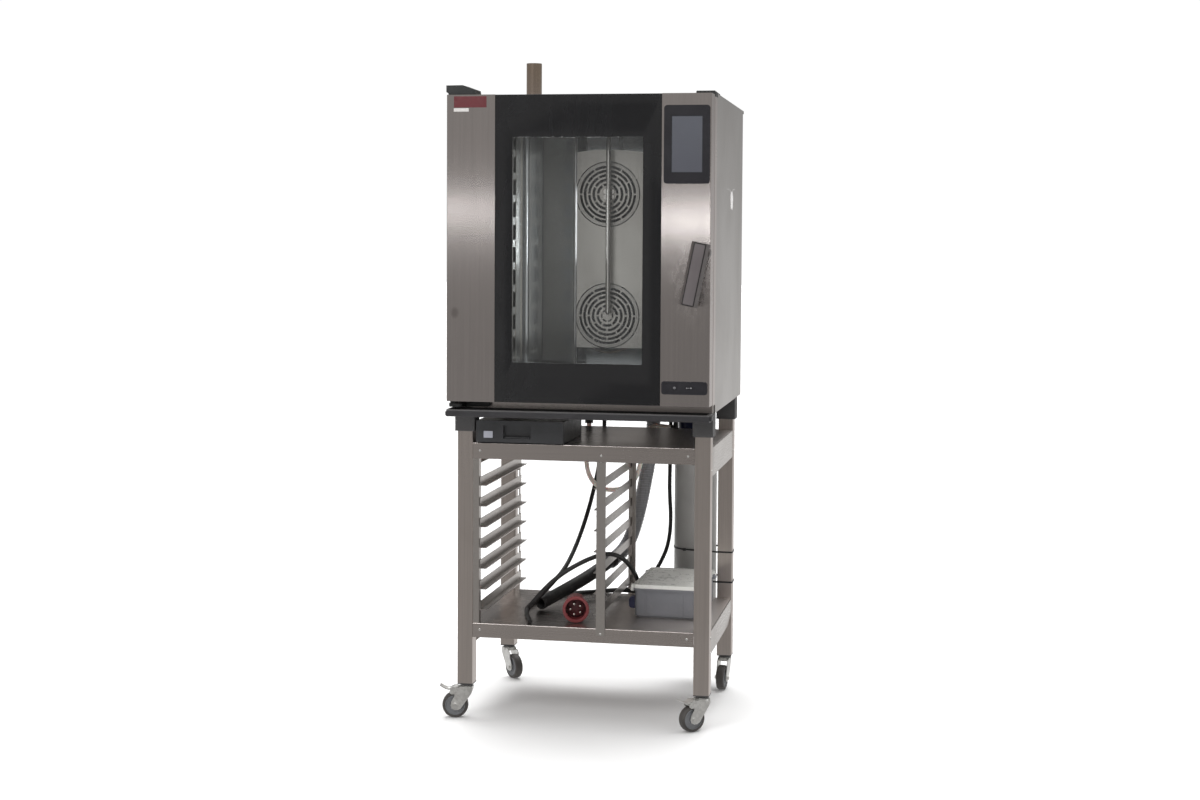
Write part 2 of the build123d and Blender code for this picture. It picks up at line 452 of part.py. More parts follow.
# ------------------------------------------------------------------ under the oven
def underside():
    # drip gutter below the door: bar with a trough along its top and two arms
    gut = bx(-374, 376, -6, 66, 884, 905)
    gut = fillet(gut.edges().filter_by(Axis.X).sort_by(Axis.Y)[:2], 5)
    gut -= bx(-366, 368, 4, 54, 890, 910)
    gut += bx(-378, -373, -2, 40, 887, 898) + bx(375, 382, -2, 40, 889, 901)
    gut += bx(-300, -250, 60, 130, 893.5, 899.5) + bx(250, 300, 60, 130, 893.5, 899.5)
    add("door_gutter", gut)
    # detergent drawer housing standing on the shelf, open at the front
    h = bx(-306, -52, 84, 330, UP_Z, 868)
    h = fillet(h.edges().filter_by(Axis.Y), 3)
    h -= bx(-301, -57, 80, 325, UP_Z + 5, 863)
    add("drawer_housing", h)
    # drawer: front with a finger recess and a pale tell-tale plate, tray behind
    d = bx(-306, -52, 68, 83.5, UP_Z + 3, 868)
    d = fillet(d.edges().filter_by(Axis.Y), 3)
    d += bx(-299, -59, 83, 318, UP_Z + 6, 852)
    d -= bx(-296, -62, 86.5, 315, UP_Z + 8.5, 860)
    d -= bx(-226, -146, 66, 80, 817, 855)
    d += bx(-222, -150, 70, 78.5, 817, 822)
    d += bx(-284, -256, 66.8, 70, 818, 839)
    add("detergent_drawer", d)
    # water elbows, cable glands and the drain spigots, all hung from the base pan
    e = cz(-93, 650, 812, 10, BODY_Z0 - 812) + cz(-93, 650, 806, 13, 10) + cz(-93, 650, BODY_Z0 - 5, 19, 5)
    add("base_ports", e)
    e = cz(186, 628, 793, 8, BODY_Z0 - 793) + cx(172, 628, 800, 8, 14) + cz(186, 628, BODY_Z0 - 5, 13, 5) + Pos(186, 628, 793) * Sphere(8)
    add("base_ports", e)
    for (x, y, r) in ((-44, 655, 14), (166, 655, 13)):
        gl = cz(x, y, BODY_Z0 - 22, r - 3, 22) + cz(x, y, BODY_Z0 - 12, r, 12)
        add("base_ports", gl)
    st = cz(112, 655, BODY_Z0 - 40, 21, 40) + cz(112, 655, BODY_Z0 - 5, 30, 5)
    add("drain_fittings", st)
    st = cz(PIPE_X, PIPE_Y, 760, 55.5, BODY_Z0 - 760) + cz(PIPE_X, PIPE_Y, 760, PIPE_R - 3.1, 22)
    st -= cz(PIPE_X, PIPE_Y, 755, 52, 140)
    add("drain_fittings", st)
    # rigid condensate pipe strapped to the rear right leg
    # its lower end is a spigot with a lead-in and a stop bead
    p = Pos(PIPE_X, PIPE_Y, 150) * Cone(PIPE_R - 2, PIPE_R, 3, align=(Align.CENTER, Align.CENTER, Align.MIN))
    p += cz(PIPE_X, PIPE_Y, 153, PIPE_R, 50) + cz(PIPE_X, PIPE_Y, 195, PIPE_W, 589)
    p -= cz(PIPE_X, PIPE_Y, 145, PIPE_R - 3, 700)
    add("drain_pipe", p)
    lx, ly = STAND_X1 - LEG, STAND_Y1 - LEG
    for z in (424.0, 331.0):
        rings = []
        for d in (0.15, 1.75):
            pts = [(PIPE_X + (PIPE_W + d) * math.cos(a * math.pi / 36), PIPE_Y + (PIPE_W + d) * math.sin(a * math.pi / 36)) for a in range(72)]
            pts += [(lx - d, ly - d), (lx + LEG + d, ly - d), (lx + LEG + d, ly + LEG + d), (lx - d, ly + LEG + d)]
            rings.append(hull(pts))
        tie = poly_z(rings[1], z - 2.4, z + 2.4) - poly_z(rings[0], z - 5, z + 5)
        tie += bx(214, 224, 605, 612, z - 4, z + 4) - poly_z(rings[0], z - 5, z + 5)
        add("cable_ties", tie)


# ------------------------------------------------------------------ door
def door():
    w, z0, z1 = OVEN_HALF_W, DOOR_Z0, DOOR_Z1
    # rear pan: perimeter walls, rear plate and the window tunnel, open to the front
    pan = bx(-w + 2, w - 2, 5.4, DOOR_T, z0 + 2, z1 - 2)
    pan -= bx(-w + 4, w - 4, 0, DOOR_T - 2, z0 + 4, z1 - 4)
    wx, wz0, wz1 = 198, 1028, 1684
    pan += bx(-wx - 2, wx + 2, 6.5, DOOR_T, wz0 - 2, wz1 + 2)
    pan -= bx(-wx, wx, -5, DOOR_T + 5, wz0, wz1)
    for (a, b) in ((z1 - 32, z1 - 2), (z0 + 2, z0 + 34)):
        pan += bx(-w + 2.5, HINGE_X + 15, HINGE_Y - 16, HINGE_Y + 16, a, b)
    pan -= cz(HINGE_X, HINGE_Y, z0 - 5, HINGE_PIN_R + FIT, 2000)
    pan += cy(HANDLE_X, 10, HANDLE_Z, 14, DOOR_T - 10)
    pan -= cy(HANDLE_X, -5, HANDLE_Z, 7 + FIT, 90)
    add("door_frame", pan)
    # stainless fascias, left and right of the glass, folded round the door edges
    for (xa, xb, s) in ((-w, GLASS_X0 - 0.4, -1), (GLASS_X1 + 0.4, w, 1)):
        f = bx(xa, xb, 0, DOOR_T - 0.4, z0, z1)
        f = fillet(f.edges().filter_by(Axis.Z).sort_by(Axis.Y)[:2].sort_by(Axis.X)[-1 if s > 0 else 0], 2.6)
        if s > 0:
            f -= bx(xa - 1, xb - 2, 2, DOOR_T + 1, z0 + 2, z1 - 2)
            f -= rounded_y(245.5, 369, 1544, 1755, -5, 10, 8)
            f -= rounded_y(243, 366, 963, 995, -5, 10, 6)
            f -= cy(HANDLE_X, -5, HANDLE_Z, 8, 20)
        else:
            f -= bx(xa + 2, xb + 1, 2, DOOR_T + 1, z0 + 2, z1 - 2)
            f -= cz(HINGE_X, HINGE_Y, z0 - 5, HINGE_PIN_R + 2.5, 2000)
        add("door_fascias", f)
    # glass panes
    add("door_outer_glass", bx(GLASS_X0, GLASS_X1, 0, 5, z0 + 0.5, z1 - 0.5))
    add("door_inner_glass", bx(-wx + 0.5, wx - 0.5, 56, 61, wz0 + 0.5, wz1 - 0.5))
    # display bezel and lower control strip
    bz = rounded_y(243.3, 371, 1541.8, 1757.4, -2.4, 0.0, 9) + rounded_y(245.9, 368.6, 1544.4, 1754.6, -0.5, 6, 7.6)
    bz -= bx(263.5, 351.5, -5, 3, 1571.5, 1728.5)
    add("control_bezels", bz)
    st = rounded_y(240.6, 368.5, 960.5, 997, -2.4, 0.0, 8) + rounded_y(243.4, 365.6, 963.4, 994.6, -0.5, 6, 5.6)
    st -= rounded_y(247, 360, 966, 991.5, -3, -1.4, 4)
    st -= cy(277.5, -5, 979, 8.3, 15)
    st += cy(277.5, 4.2, 979, 10, 1.8)
    st -= cy(277.5, 2, 979, 2.2, 15)
    st -= bx(308, 334, -3, 0.6, 975, 983)
    add("control_bezels", st)
    add("display_screen", bx(264, 351, -1.9, 2.8, 1572, 1728))
    b = cy(277.5, -2.2, 979, 8.0, 4.4)
    b = fillet(b.edges().filter_by(GeomType.CIRCLE).sort_by(Axis.Y)[0:1], 0.6)
    add("power_button", b)
    # handle: boss on the fascia, flared grip, spindle through the door, latch finger
    tilt = 11.5
    grip_sec = [(-26, -31), (26, -31), (17.5, -50), (-17.5, -50)]
    pts0 = [(p[0], p[1], 0) for p in grip_sec]
    grip = extrude(Face(Wire.make_polygon([Vector(*p) for p in pts0], close=True)), amount=176, dir=Vector(0, 0, -1))
    grip = fillet(grip.edges().filter_by(Axis.Z).sort_by(Axis.Y)[:2], 2.0)
    grip = Pos(353.5, 0, 1380) * (Rot(0, tilt, 0) * grip)
    boss = cy(HANDLE_X, -31.5, HANDLE_Z, 20, 31.2) - cy(HANDLE_X, -0.1, HANDLE_Z, 30, 5)
    grip = grip + boss
    grip += cy(HANDLE_X, -5, HANDLE_Z, 7, 73)
    grip += poly_y([(HANDLE_X - 9, HANDLE_Z + 9), (HANDLE_X + 9, HANDLE_Z + 9), (HANDLE_X + 9, HANDLE_Z - 9),
                    (HANDLE_X + 5, HANDLE_Z - 20), (HANDLE_X - 5, HANDLE_Z - 20)], 64, 68.0)
    add("door_handle", grip)


# ------------------------------------------------------------------ cords
def cord_tube(name, pts, r, show=True):
    """Round tube along straight runs joined by tangent arcs."""
    V = [Vector(*p) for p in pts]
    radii, turns = [], []
    for i in range(1, len(V) - 1):
        a, b = V[i] - V[i - 1], V[i + 1] - V[i]
        th = math.radians(a.get_angle(b))
        radii.append(0.45 * min(a.length, b.length) / math.tan(th / 2))
        turns.append(round(math.degrees(th)))
    path = FilletPolyline(*V, radius=radii)
    start = Plane(origin=V[0], z_dir=(V[1] - V[0]))
    t = sweep(start * Circle(r), path=path)
    L = path.length
    print(name, "length", round(L), "volume ratio", round(t.volume / (math.pi * r * r * L), 4),
          "radii", [round(q) for q in radii], "turns", turns)
    add(name, t)
    return L


# control points of the routes, working frame
MAINS = [(-44, 655, 878), (-44, 655, 836), (-46, 656, 778), (-55, 653, 710), (-70, 649, 624), (-86, 620, 540), (-99, 564, 472),
         (-110, 492, 419), (-120, 416, 383), (-138, 338, 357), (-162, 272, 328), (-178, 229, 311), (-179, 190, 311),
         (-162, 160, 327), (-137, 148, 356), (-108, 150, 388), (-70, 158, 420), (-26, 168, 447), (16, 184, 466),
         (52, 204, 475), (82, 240, 462), (100, 288, 432), (109, 344, 394), (111, 398, 356), (107, 446, 326),
         (95, 498, 307), (66, 540, 301), (20, 556, 299), (-26, 546, 296), (-60, 516, 296), (-82, 468, 301),
         (-88, 412, 309), (-80, 354, 318), (-61, 303.1, 321), (-52.4, 262, 321)]
ACCESSORY = [(166, 655, 878), (166, 655, 822), (166.5, 651, 752), (166.5, 645, 688), (165.5, 640, 600), (172, 640, 512),
             (164, 640, 431), (141, 634, 376), (114, 618, 330), (82, 606, 302), (40, 600, 293), (-6, 588, 288.5),
             (-52, 574, 287.2), (-98, 552, 287.2), (-140, 516, 287.2), (-174, 466, 287.2), (-196, 406, 287.2), (-208, 342, 287.2),
             (-206, 278, 287.2), (-192, 218, 287.2), (-171, 156, 287.2), (-152, 97, 287.2)]
WATER = [(-93, 650, 806), (-93, 650, 778), (-97, 647, 740), (-100, 641, 698), (-95, 634, 657), (-76, 628, 621), (-40, 625, 600),
         (2, 622, 600), (40, 619, 614), (66, 615, 644), (79, 612, 688), (82, 612, 724), (84, 612, 757), (94, 614, 787),
         (116, 619, 805), (145, 626, 804), (172, 628, 800)]
GREY = [(112, 655, 860), (112, 655, 810), (107, 653, 746), (96, 651, 678), (84, 650, 610), (70, 648, 538), (50, 645, 464),
        (34, 629, 426), (14, 601, 399), (-5.7, 569, 386)]
BLACK = [(-5.7, 569, 386), (-25, 537.6, 373.3), (-60, 480, 351), (-101, 412, 330), (-142, 344, 311), (-165, 291, 301)]


def cords():
    cord_tube("mains_lead", MAINS, 6.5)
    cord_tube("accessory_cable", ACCESSORY, 6.0)
    cord_tube("water_hose", WATER, 7.2)
    cord_tube("drain_hose_grey", GREY, 22.0)
    cord_tube("drain_hose_black", BLACK, 19.0)


def plug():
    """Five-pin plug on the lower shelf, built along +Z from its open end."""
    p = Cylinder(38.3, 9, align=(Align.CENTER, Align.CENTER, Align.MIN))
    p += Pos(0, 0, 0) * Cylinder(34, 52, align=(Align.CENTER, Align.CENTER, Align.MIN))
    p += Pos(0, 0, 50) * Cylinder(30, 46, align=(Align.CENTER, Align.CENTER, Align.MIN))
    p += Pos(0, 0, 96) * Cone(28, 17, 22, align=(Align.CENTER, Align.CENTER, Align.MIN))
    p += Pos(0, 0, 117) * extrude(RegularPolygon(17, 6), 16.8)
    for a in range(12):
        p += Rot(0, 0, a * 30) * (Pos(30, 0, 73) * Box(4, 5, 36))
    p -= Pos(0, 0, -1) * Cylinder(29.6, 39, align=(Align.CENTER, Align.CENTER, Align.MIN))
    p += Pos(0, -30.5, 0) * Box(8, 4, 38, align=(Align.CENTER, Align.CENTER, Align.MIN))
    p += Pos(0, 0, 30) * Cylinder(24, 9, align=(Align.CENTER, Align.CENTER, Align.MIN))
    for k in range(5):
        a = math.radians(90 + 18 + 72 * k)
        pin = Cylinder(3.2, 30, align=(Align.CENTER, Align.CENTER, Align.MIN))
        p += Pos(15.5 * math.cos(a), 15.5 * math.sin(a), 6) * pin
    f, r = Vector(-25, 131, 321), Vector(-52.4, 262, 321)
    pl = Plane(origin=f, x_dir=(0.979, 0.205, 0), z_dir=(r - f))
    add("mains_plug", pl.location * p)


def crate():
    """Closed stacking box on the lower shelf, 200 x 288, turned a little; the lid is hinged along its right side and clipped on the left."""
    W, D, H = 200.0, 288.0, 97.0
    b = fillet(bx(5, W - 5, 5, D - 5, 5, H - 11).edges().filter_by(Axis.Z), 11)
    b += fillet(bx(10, W - 10, 10, D - 10, 0, 7).edges().filter_by(Axis.Z), 9)
    b += fillet(bx(0.5, W - 0.5, 0.5, D - 0.5, H - 17, H - 11).edges().filter_by(Axis.Z), 13)
    b -= fillet(bx(8.6, W - 8.6, 8.6, D - 8.6, 3, H).edges().filter_by(Axis.Z), 8)
    # moulded panels: one large and one small on each short face, two on each long face, and a seam
    for ya, yb, g in ((0, 6.9, (0, 6.2)), (D - 6.9, D, (D - 6.2, D))):
        pk = bx(41, 138, ya, yb, 7.5, 74)
        b -= fillet(pk.edges().filter_by(Axis.Y).sort_by(Axis.Z)[-2:], 9)
        b -= fillet(bx(150, 184, ya, yb, 9, 70).edges().filter_by(Axis.Y), 3)
        b -= bx(35.4, 36.8, g[0], g[1], 7.5, H - 17)
    for xa, xb in ((0, 6.9), (W - 6.9, W)):
        for ya in (44, 156):
            b -= fillet(bx(xa, xb, ya, ya + 88, 9, 74).edges().filter_by(Axis.X).sort_by(Axis.Z)[-2:], 9)
    # lid: rim, a groove round the raised field, hollow underside
    lid = fillet(bx(0, W, 0, D, H - 10.7, H).edges().filter_by(Axis.Z), 13)
    lid -= fillet(bx(9, W - 9, 9, D - 9, H - 3.4, H + 1).edges().filter_by(Axis.Z), 6) - fillet(bx(13, W - 13, 13, D - 13, H - 5, H + 2).edges().filter_by(Axis.Z), 5)
    lid -= fillet(bx(10.5, W - 10.5, 10.5, D - 10.5, H - 12, H - 6).edges().filter_by(Axis.Z), 5)
    for y in (12, 236):
        # spring clip over the left rim
        lid += bx(-7, 0.2, y, y + 14, H - 21, H - 1.5) + bx(-7, 3, y, y + 14, H - 7, H - 1.5)
        lid += cy(-5, y, H - 17, 3.4, 14)
        # hinge knuckles on the right
        lid += cy(W + 5, y, H - 7, 4.5, 14) + bx(W - 3, W + 5, y, y + 14, H - 10.7, H - 3)
        for ya in (y - 5.5, y + 14.5):
            b += cy(W + 5, ya, H - 7, 4.5, 5) + bx(W + 0.6, W + 9.4, ya, ya + 5, H - 15, H - 7) + bx(W - 2, W + 9.4, ya, ya + 5, H - 17, H - 12.2)
    grip = fillet(bx(-12, 4.9, 8, 32, 26, 60).edges().filter_by(Axis.Y).sort_by(Axis.X)[:2], 9)
    loc = Pos(120, 248, LO_Z + 0.05) * Rot(0, 0, -1.2)
    add("crate", loc * b, loc * grip)
    add("crate_lid", loc * lid)


casing()
cavity()
fittings()
underside()
door()
castor("fl", True)
castor("fr", True)
castor("rl", False)
castor("rr", False)

cords()
plug()
crate()

os.makedirs("parts", exist_ok=True)
lo, hi = [1e9] * 3, [-1e9] * 3
for name, sol in parts.items():
    moved = [Pos(-AX, -AY, 0) * s for s in sol]
    shape = moved[0] if len(moved) == 1 else Compound(children=moved)
    export_step(shape, "parts/%s.step" % name)
    bb = shape.bounding_box()
    for i, (a, b) in enumerate(zip(bb.min, bb.max)):
        lo[i], hi[i] = min(lo[i], a), max(hi[i], b)
print("nodes", len(parts), "box", [round(v, 2) for v in lo], [round(v, 2) for v in hi],
      "centre", round((lo[0] + hi[0]) / 2, 3), round((lo[1] + hi[1]) / 2, 3))
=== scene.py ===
import math
import json

import bpy
import bmesh
from mathutils import Vector, Matrix, noise

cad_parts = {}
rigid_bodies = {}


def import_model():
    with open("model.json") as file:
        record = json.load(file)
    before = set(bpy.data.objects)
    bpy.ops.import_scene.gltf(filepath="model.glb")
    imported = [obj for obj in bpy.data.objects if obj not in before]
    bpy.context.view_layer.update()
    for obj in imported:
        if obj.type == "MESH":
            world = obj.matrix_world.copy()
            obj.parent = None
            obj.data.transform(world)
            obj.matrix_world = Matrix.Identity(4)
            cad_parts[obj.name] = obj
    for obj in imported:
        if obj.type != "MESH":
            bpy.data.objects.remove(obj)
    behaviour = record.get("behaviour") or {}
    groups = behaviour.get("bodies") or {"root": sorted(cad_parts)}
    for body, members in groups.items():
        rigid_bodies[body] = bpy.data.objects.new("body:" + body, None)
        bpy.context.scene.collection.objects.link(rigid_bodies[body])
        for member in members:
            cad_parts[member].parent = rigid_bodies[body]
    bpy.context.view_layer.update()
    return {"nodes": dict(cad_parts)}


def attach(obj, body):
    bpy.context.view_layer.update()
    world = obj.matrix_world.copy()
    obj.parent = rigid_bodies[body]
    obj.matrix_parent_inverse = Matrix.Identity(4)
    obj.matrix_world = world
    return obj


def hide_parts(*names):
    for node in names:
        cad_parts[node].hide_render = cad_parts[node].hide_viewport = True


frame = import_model()
N = frame["nodes"]

# Working frame of the drawing: x right, y back from the door's front, z up, millimetres.
AX, AY = -18.035, 349.0


def D(x, y, z):
    return Vector(((x - AX) / 1000, (y - AY) / 1000, z / 1000))


# ------------------------------------------------------------------ camera
cam_data = bpy.data.cameras.new("camera")
cam = bpy.data.objects.new("camera", cam_data)
bpy.context.scene.collection.objects.link(cam)
R_, U_, F_ = (0.98239, 0.18675, 0.00572), (-0.01486, 0.04757, 0.99876), (-0.18625, 0.98125, -0.04951)
C_ = (1.075591, -5.433217, 1.424544)
cam.matrix_world = Matrix([[R_[i], U_[i], -F_[i], C_[i]] for i in range(3)] + [[0, 0, 0, 1]])
cam_data.sensor_fit = "HORIZONTAL"
cam_data.sensor_width = 36.0
cam_data.lens = 55.989
cam_data.shift_x, cam_data.shift_y = -0.007628, -0.067855
cam_data.clip_start, cam_data.clip_end = 0.05, 200
bpy.context.scene.camera = cam


# ------------------------------------------------------------------ materials
class G:
    """One material and short calls to make its nodes."""

    def __init__(self, name, col, rough, metal=0.0, **sock):
        self.m = bpy.data.materials.new(name)
        self.m.use_nodes = True
        self.t = self.m.node_tree
        self.b = self.t.nodes["Principled BSDF"]
        self.b.inputs["Base Color"].default_value = (*col, 1)
        self.b.inputs["Roughness"].default_value = rough
        self.b.inputs["Metallic"].default_value = metal
        for k, v in sock.items():
            self.b.inputs[k.replace("_", " ")].default_value = v
        self.col, self.rough = col, rough
        self.co = self.t.nodes.new("ShaderNodeTexCoord").outputs["Object"]
        self.m.diffuse_color = (*col, 1)

    def link(self, a, b):
        self.t.links.new(a, b)

    def stretch(self, s, loc=(0, 0, 0), rot=(0, 0, 0)):
        n = self.t.nodes.new("ShaderNodeMapping")
        n.inputs["Scale"].default_value = s
        n.inputs["Location"].default_value = loc
        n.inputs["Rotation"].default_value = rot
        self.link(self.co, n.inputs["Vector"])
        return n.outputs[0]

    def noise(self, scale, detail=3.0, rough=0.55, vec=None, dist=0.0):
        n = self.t.nodes.new("ShaderNodeTexNoise")
        n.inputs["Scale"].default_value = scale
        n.inputs["Detail"].default_value = detail
        n.inputs["Roughness"].default_value = rough
        n.inputs["Distortion"].default_value = dist
        self.link(vec if vec is not None else self.co, n.inputs["Vector"])
        return n.outputs["Fac"]

    def cells(self, scale, vec=None, out="Distance", feature="F1"):
        n = self.t.nodes.new("ShaderNodeTexVoronoi")
        n.feature = feature
        n.inputs["Scale"].default_value = scale
        self.link(vec if vec is not None else self.co, n.inputs["Vector"])
        return n.outputs[out]

    def fit(self, fac, a, b, lo, hi, smooth=True):
        n = self.t.nodes.new("ShaderNodeMapRange")
        n.interpolation_type = "SMOOTHSTEP" if smooth else "LINEAR"
        for i, v in enumerate((a, b, lo, hi)):
            n.inputs[1 + i].default_value = v
        self.link(fac, n.inputs[0])
        return n.outputs[0]

    def math(self, op, a, b=None, clamp=False):
        n = self.t.nodes.new("ShaderNodeMath")
        n.operation = op
        n.use_clamp = clamp
        for i, v in enumerate((a, b)):
            if v is None:
                continue
            if isinstance(v, (int, float)):
                n.inputs[i].default_value = v
            else:
                self.link(v, n.inputs[i])
        return n.outputs[0]

    def xyz(self, vec=None):
        n = self.t.nodes.new("ShaderNodeSeparateXYZ")
        self.link(vec if vec is not None else self.co, n.inputs[0])
        return n.outputs

    def dist(self, p, scale=(1, 1, 1)):
        """Distance of the surface point from p, in the row frame, each axis scaled."""
        n = self.t.nodes.new("ShaderNodeVectorMath")
        n.operation = "SUBTRACT"
        self.link(self.co, n.inputs[0])
        n.inputs[1].default_value = p
        k = self.t.nodes.new("ShaderNodeVectorMath")
        k.operation = "MULTIPLY"
        self.link(n.outputs[0], k.inputs[0])
        k.inputs[1].default_value = scale
        q = self.t.nodes.new("ShaderNodeVectorMath")
        q.operation = "LENGTH"
        self.link(k.outputs[0], q.inputs[0])
        return q.outputs["Value"]

    def mix(self, fac, a, b, mode="MIX"):
        n = self.t.nodes.new("ShaderNodeMix")
        n.data_type = "RGBA"
        n.blend_type = mode
        n.clamp_factor = True
        if isinstance(fac, (int, float)):
            n.inputs[0].default_value = fac
        else:
            self.link(fac, n.inputs[0])
        for i, v in ((6, a), (7, b)):
            if isinstance(v, (tuple, list)):
                n.inputs[i].default_value = (*v[:3], 1)
            else:
                self.link(v, n.inputs[i])
        return n.outputs[2]

    def set(self, name, socket):
        self.link(socket, self.b.inputs[name])
        return self

    def bump(self, height, strength, dist, normal=None):
        n = self.t.nodes.new("ShaderNodeBump")
        n.inputs["Strength"].default_value = strength
        n.inputs["Distance"].default_value = dist
        self.link(height, n.inputs["Height"])
        if normal is not None:
            self.link(normal, n.inputs["Normal"])
        return n.outputs[0]


def tone(c, k):
    return tuple(min(1.0, v * k) for v in c)


def steel(name, col, rough, along="z", aniso=0.0, streak=0.06, cloud=0.06, var=0.05, bump=0.04, tan="Z", extra=None, fine=1500.0):
    """Brushed sheet: fine scratches along one axis, broader streaks and soft clouds of wiping marks."""
    g = G(name, col, rough, 1.0)
    k = 0.012
    s = {"x": (k, 1, 1), "y": (1, k, 1), "z": (1, 1, k), "n": (1, 1, 1)}[along]
    v = g.stretch(s)
    hair = g.noise(fine, 3, 0.6, v)
    streaks = g.noise(170.0, 3, 0.6, g.stretch(tuple(q * 1.3 if q < 1 else 1 for q in s), (3.1, 1.7, 0.4)))
    clouds = g.noise(3.2, 4, 0.6, g.stretch((1, 1, 0.7), (1.3, 0.2, 0.9)), 0.6)
    c = g.mix(g.fit(streaks, 0.25, 0.75, 0, 1), tone(col, 1 - streak), tone(col, 1 + streak))
    c = g.mix(g.fit(clouds, 0.35, 0.7, 0, 1), c, g.mix(1.0, c, (1 - cloud, 1 - cloud * 1.05, 1 - cloud * 1.1), "MULTIPLY"))
    r = g.math("ADD", g.fit(hair, 0.3, 0.7, rough - var * 0.6, rough + var * 0.6), g.fit(clouds, 0.3, 0.75, -var * 0.5, var))
    if extra:
        c, r = extra(g, c, r)
    g.set("Base Color", c).set("Roughness", r)
    g.set("Normal", g.bump(hair, bump, 0.0004))
    if aniso:
        g.b.inputs["Anisotropic"].default_value = aniso
        t = g.t.nodes.new("ShaderNodeTangent")
        t.direction_type, t.axis = "RADIAL", tan
        g.link(t.outputs[0], g.b.inputs["Tangent"])
    return g.m


def plastic(name, col, rough, grain=0.12, pitch=1400.0, cloud=0.12, dust=0.0, dust_col=(0.35, 0.33, 0.3), **sock):
    """Moulded plastic: fine spark-eroded grain, slow tone changes and dust on upward faces."""
    g = G(name, col, rough, **sock)
    fine = g.noise(pitch, 2, 0.5)
    slow = g.noise(9.0, 4, 0.6, None, 0.4)
    marks = g.noise(70.0, 5, 0.7)
    c = g.mix(g.fit(slow, 0.3, 0.7, 0, 1), tone(col, 1 - cloud), tone(col, 1 + cloud))
    if dust:
        nrm = g.t.nodes.new("ShaderNodeNewGeometry")
        up = g.xyz(nrm.outputs["Normal"])[2]
        lay = g.math("MULTIPLY", g.fit(up, 0.2, 0.95, 0, dust), g.fit(marks, 0.3, 0.6, 0.35, 1.0))
        c = g.mix(lay, c, dust_col)
    g.set("Base Color", c)
    g.set("Roughness", g.math("ADD", g.fit(marks, 0.3, 0.7, rough - 0.06, rough + 0.08), g.fit(slow, 0.3, 0.7, -0.03, 0.04)))
    g.set("Normal", g.bump(fine, grain, 0.0003))
    return g.m


def zinc(name, col=(0.9, 0.9, 0.88), rough=0.42):
    """Bright zinc plating over pressed steel, with faint crystals and dull patches."""
    g = G(name, col, rough, 1.0)
    spang = g.cells(160.0, None, "Color")
    spark = g.xyz(spang)[0]
    slow = g.noise(28.0, 4, 0.65)
    c = g.mix(g.fit(spark, 0, 1, 0, 1), tone(col, 0.93), tone(col, 1.06))
    c = g.mix(g.fit(slow, 0.54, 0.76, 0, 0.5), c, (0.46, 0.44, 0.41))
    g.set("Base Color", c)
    g.set("Roughness", g.math("ADD", g.fit(slow, 0.35, 0.7, rough - 0.06, rough + 0.16), g.fit(spark, 0, 1, -0.03, 0.03)))
    g.set("Normal", g.bump(g.noise(220.0, 3), 0.05, 0.0005))
    return g.m


def rubber(name, col, rough=0.55, scuff=(0.12, 0.12, 0.12), amount=0.35, fine=900.0, **sock):
    """Extruded rubber or soft PVC: satin skin with pale scuffs."""
    g = G(name, col, rough, **sock)
    f = g.noise(fine, 2, 0.5)
    s = g.noise(60.0, 5, 0.7, None, 0.5)
    slow = g.noise(14.0, 3)
    c = g.mix(g.fit(s, 0.52, 0.78, 0, amount), g.mix(g.fit(slow, 0.3, 0.7, 0, 1), tone(col, 0.85), tone(col, 1.2)), scuff)
    g.set("Base Color", c)
    g.set("Roughness", g.fit(s, 0.3, 0.75, rough - 0.08, rough + 0.14))
    g.set("Normal", g.bump(f, 0.08, 0.0003))
    return g.m


# colours are linear
WARM = (0.62, 0.575, 0.56)


def handle_smudges(g, c, r):
    """Fingerprints and dried drops beside and below the handle, and one small dark spot on the hinge side."""
    near = g.fit(g.dist(D(330, 0, 1285), (1.0, 0.2, 0.55)), 0.03, 0.095, 1, 0)
    blot = g.noise(46.0, 4, 0.6, g.stretch((1, 1, 0.6)), 0.8)
    m = g.math("MULTIPLY", near, g.fit(blot, 0.42, 0.62, 0, 1))
    r = g.math("ADD", r, g.math("MULTIPLY", m, 0.08))
    c = g.mix(g.math("MULTIPLY", m, 0.3), c, tone(WARM, 1.15))
    dark = g.math("MULTIPLY", near, g.fit(g.noise(30.0, 3, 0.5, g.stretch((1, 1, 0.8), (5, 2, 1))), 0.5, 0.62, 0, 0.25))
    c = g.mix(dark, c, tone(WARM, 0.65))
    spot = g.fit(g.dist(D(-351, 0, 1178), (1.0, 0.2, 0.75)), 0.004, 0.016, 0.33, 0)
    c = g.mix(spot, c, (0.12, 0.09, 0.08))
    return c, r


M = {}
M["fascia"] = steel("fascia_steel", WARM, 0.215, "z", 1.0, 0.03, 0.04, 0.02, 0.02, extra=handle_smudges)
M["side"] = steel("side_steel", (0.60, 0.585, 0.57), 0.34, "z", 0.4, 0.03, 0.07, 0.05, 0.03)
M["top"] = steel("top_steel", (0.60, 0.585, 0.57), 0.32, "x", 0.0, 0.03, 0.07, 0.05, 0.03)
M["frame"] = steel("frame_steel", (0.66, 0.61, 0.59), 0.3, "x", 0.0, 0.04, 0.05, 0.05, 0.03)
M["leg"] = steel("leg_steel", (0.68, 0.62, 0.585), 0.32, "z", 0.55, 0.05, 0.08, 0.05, 0.05)


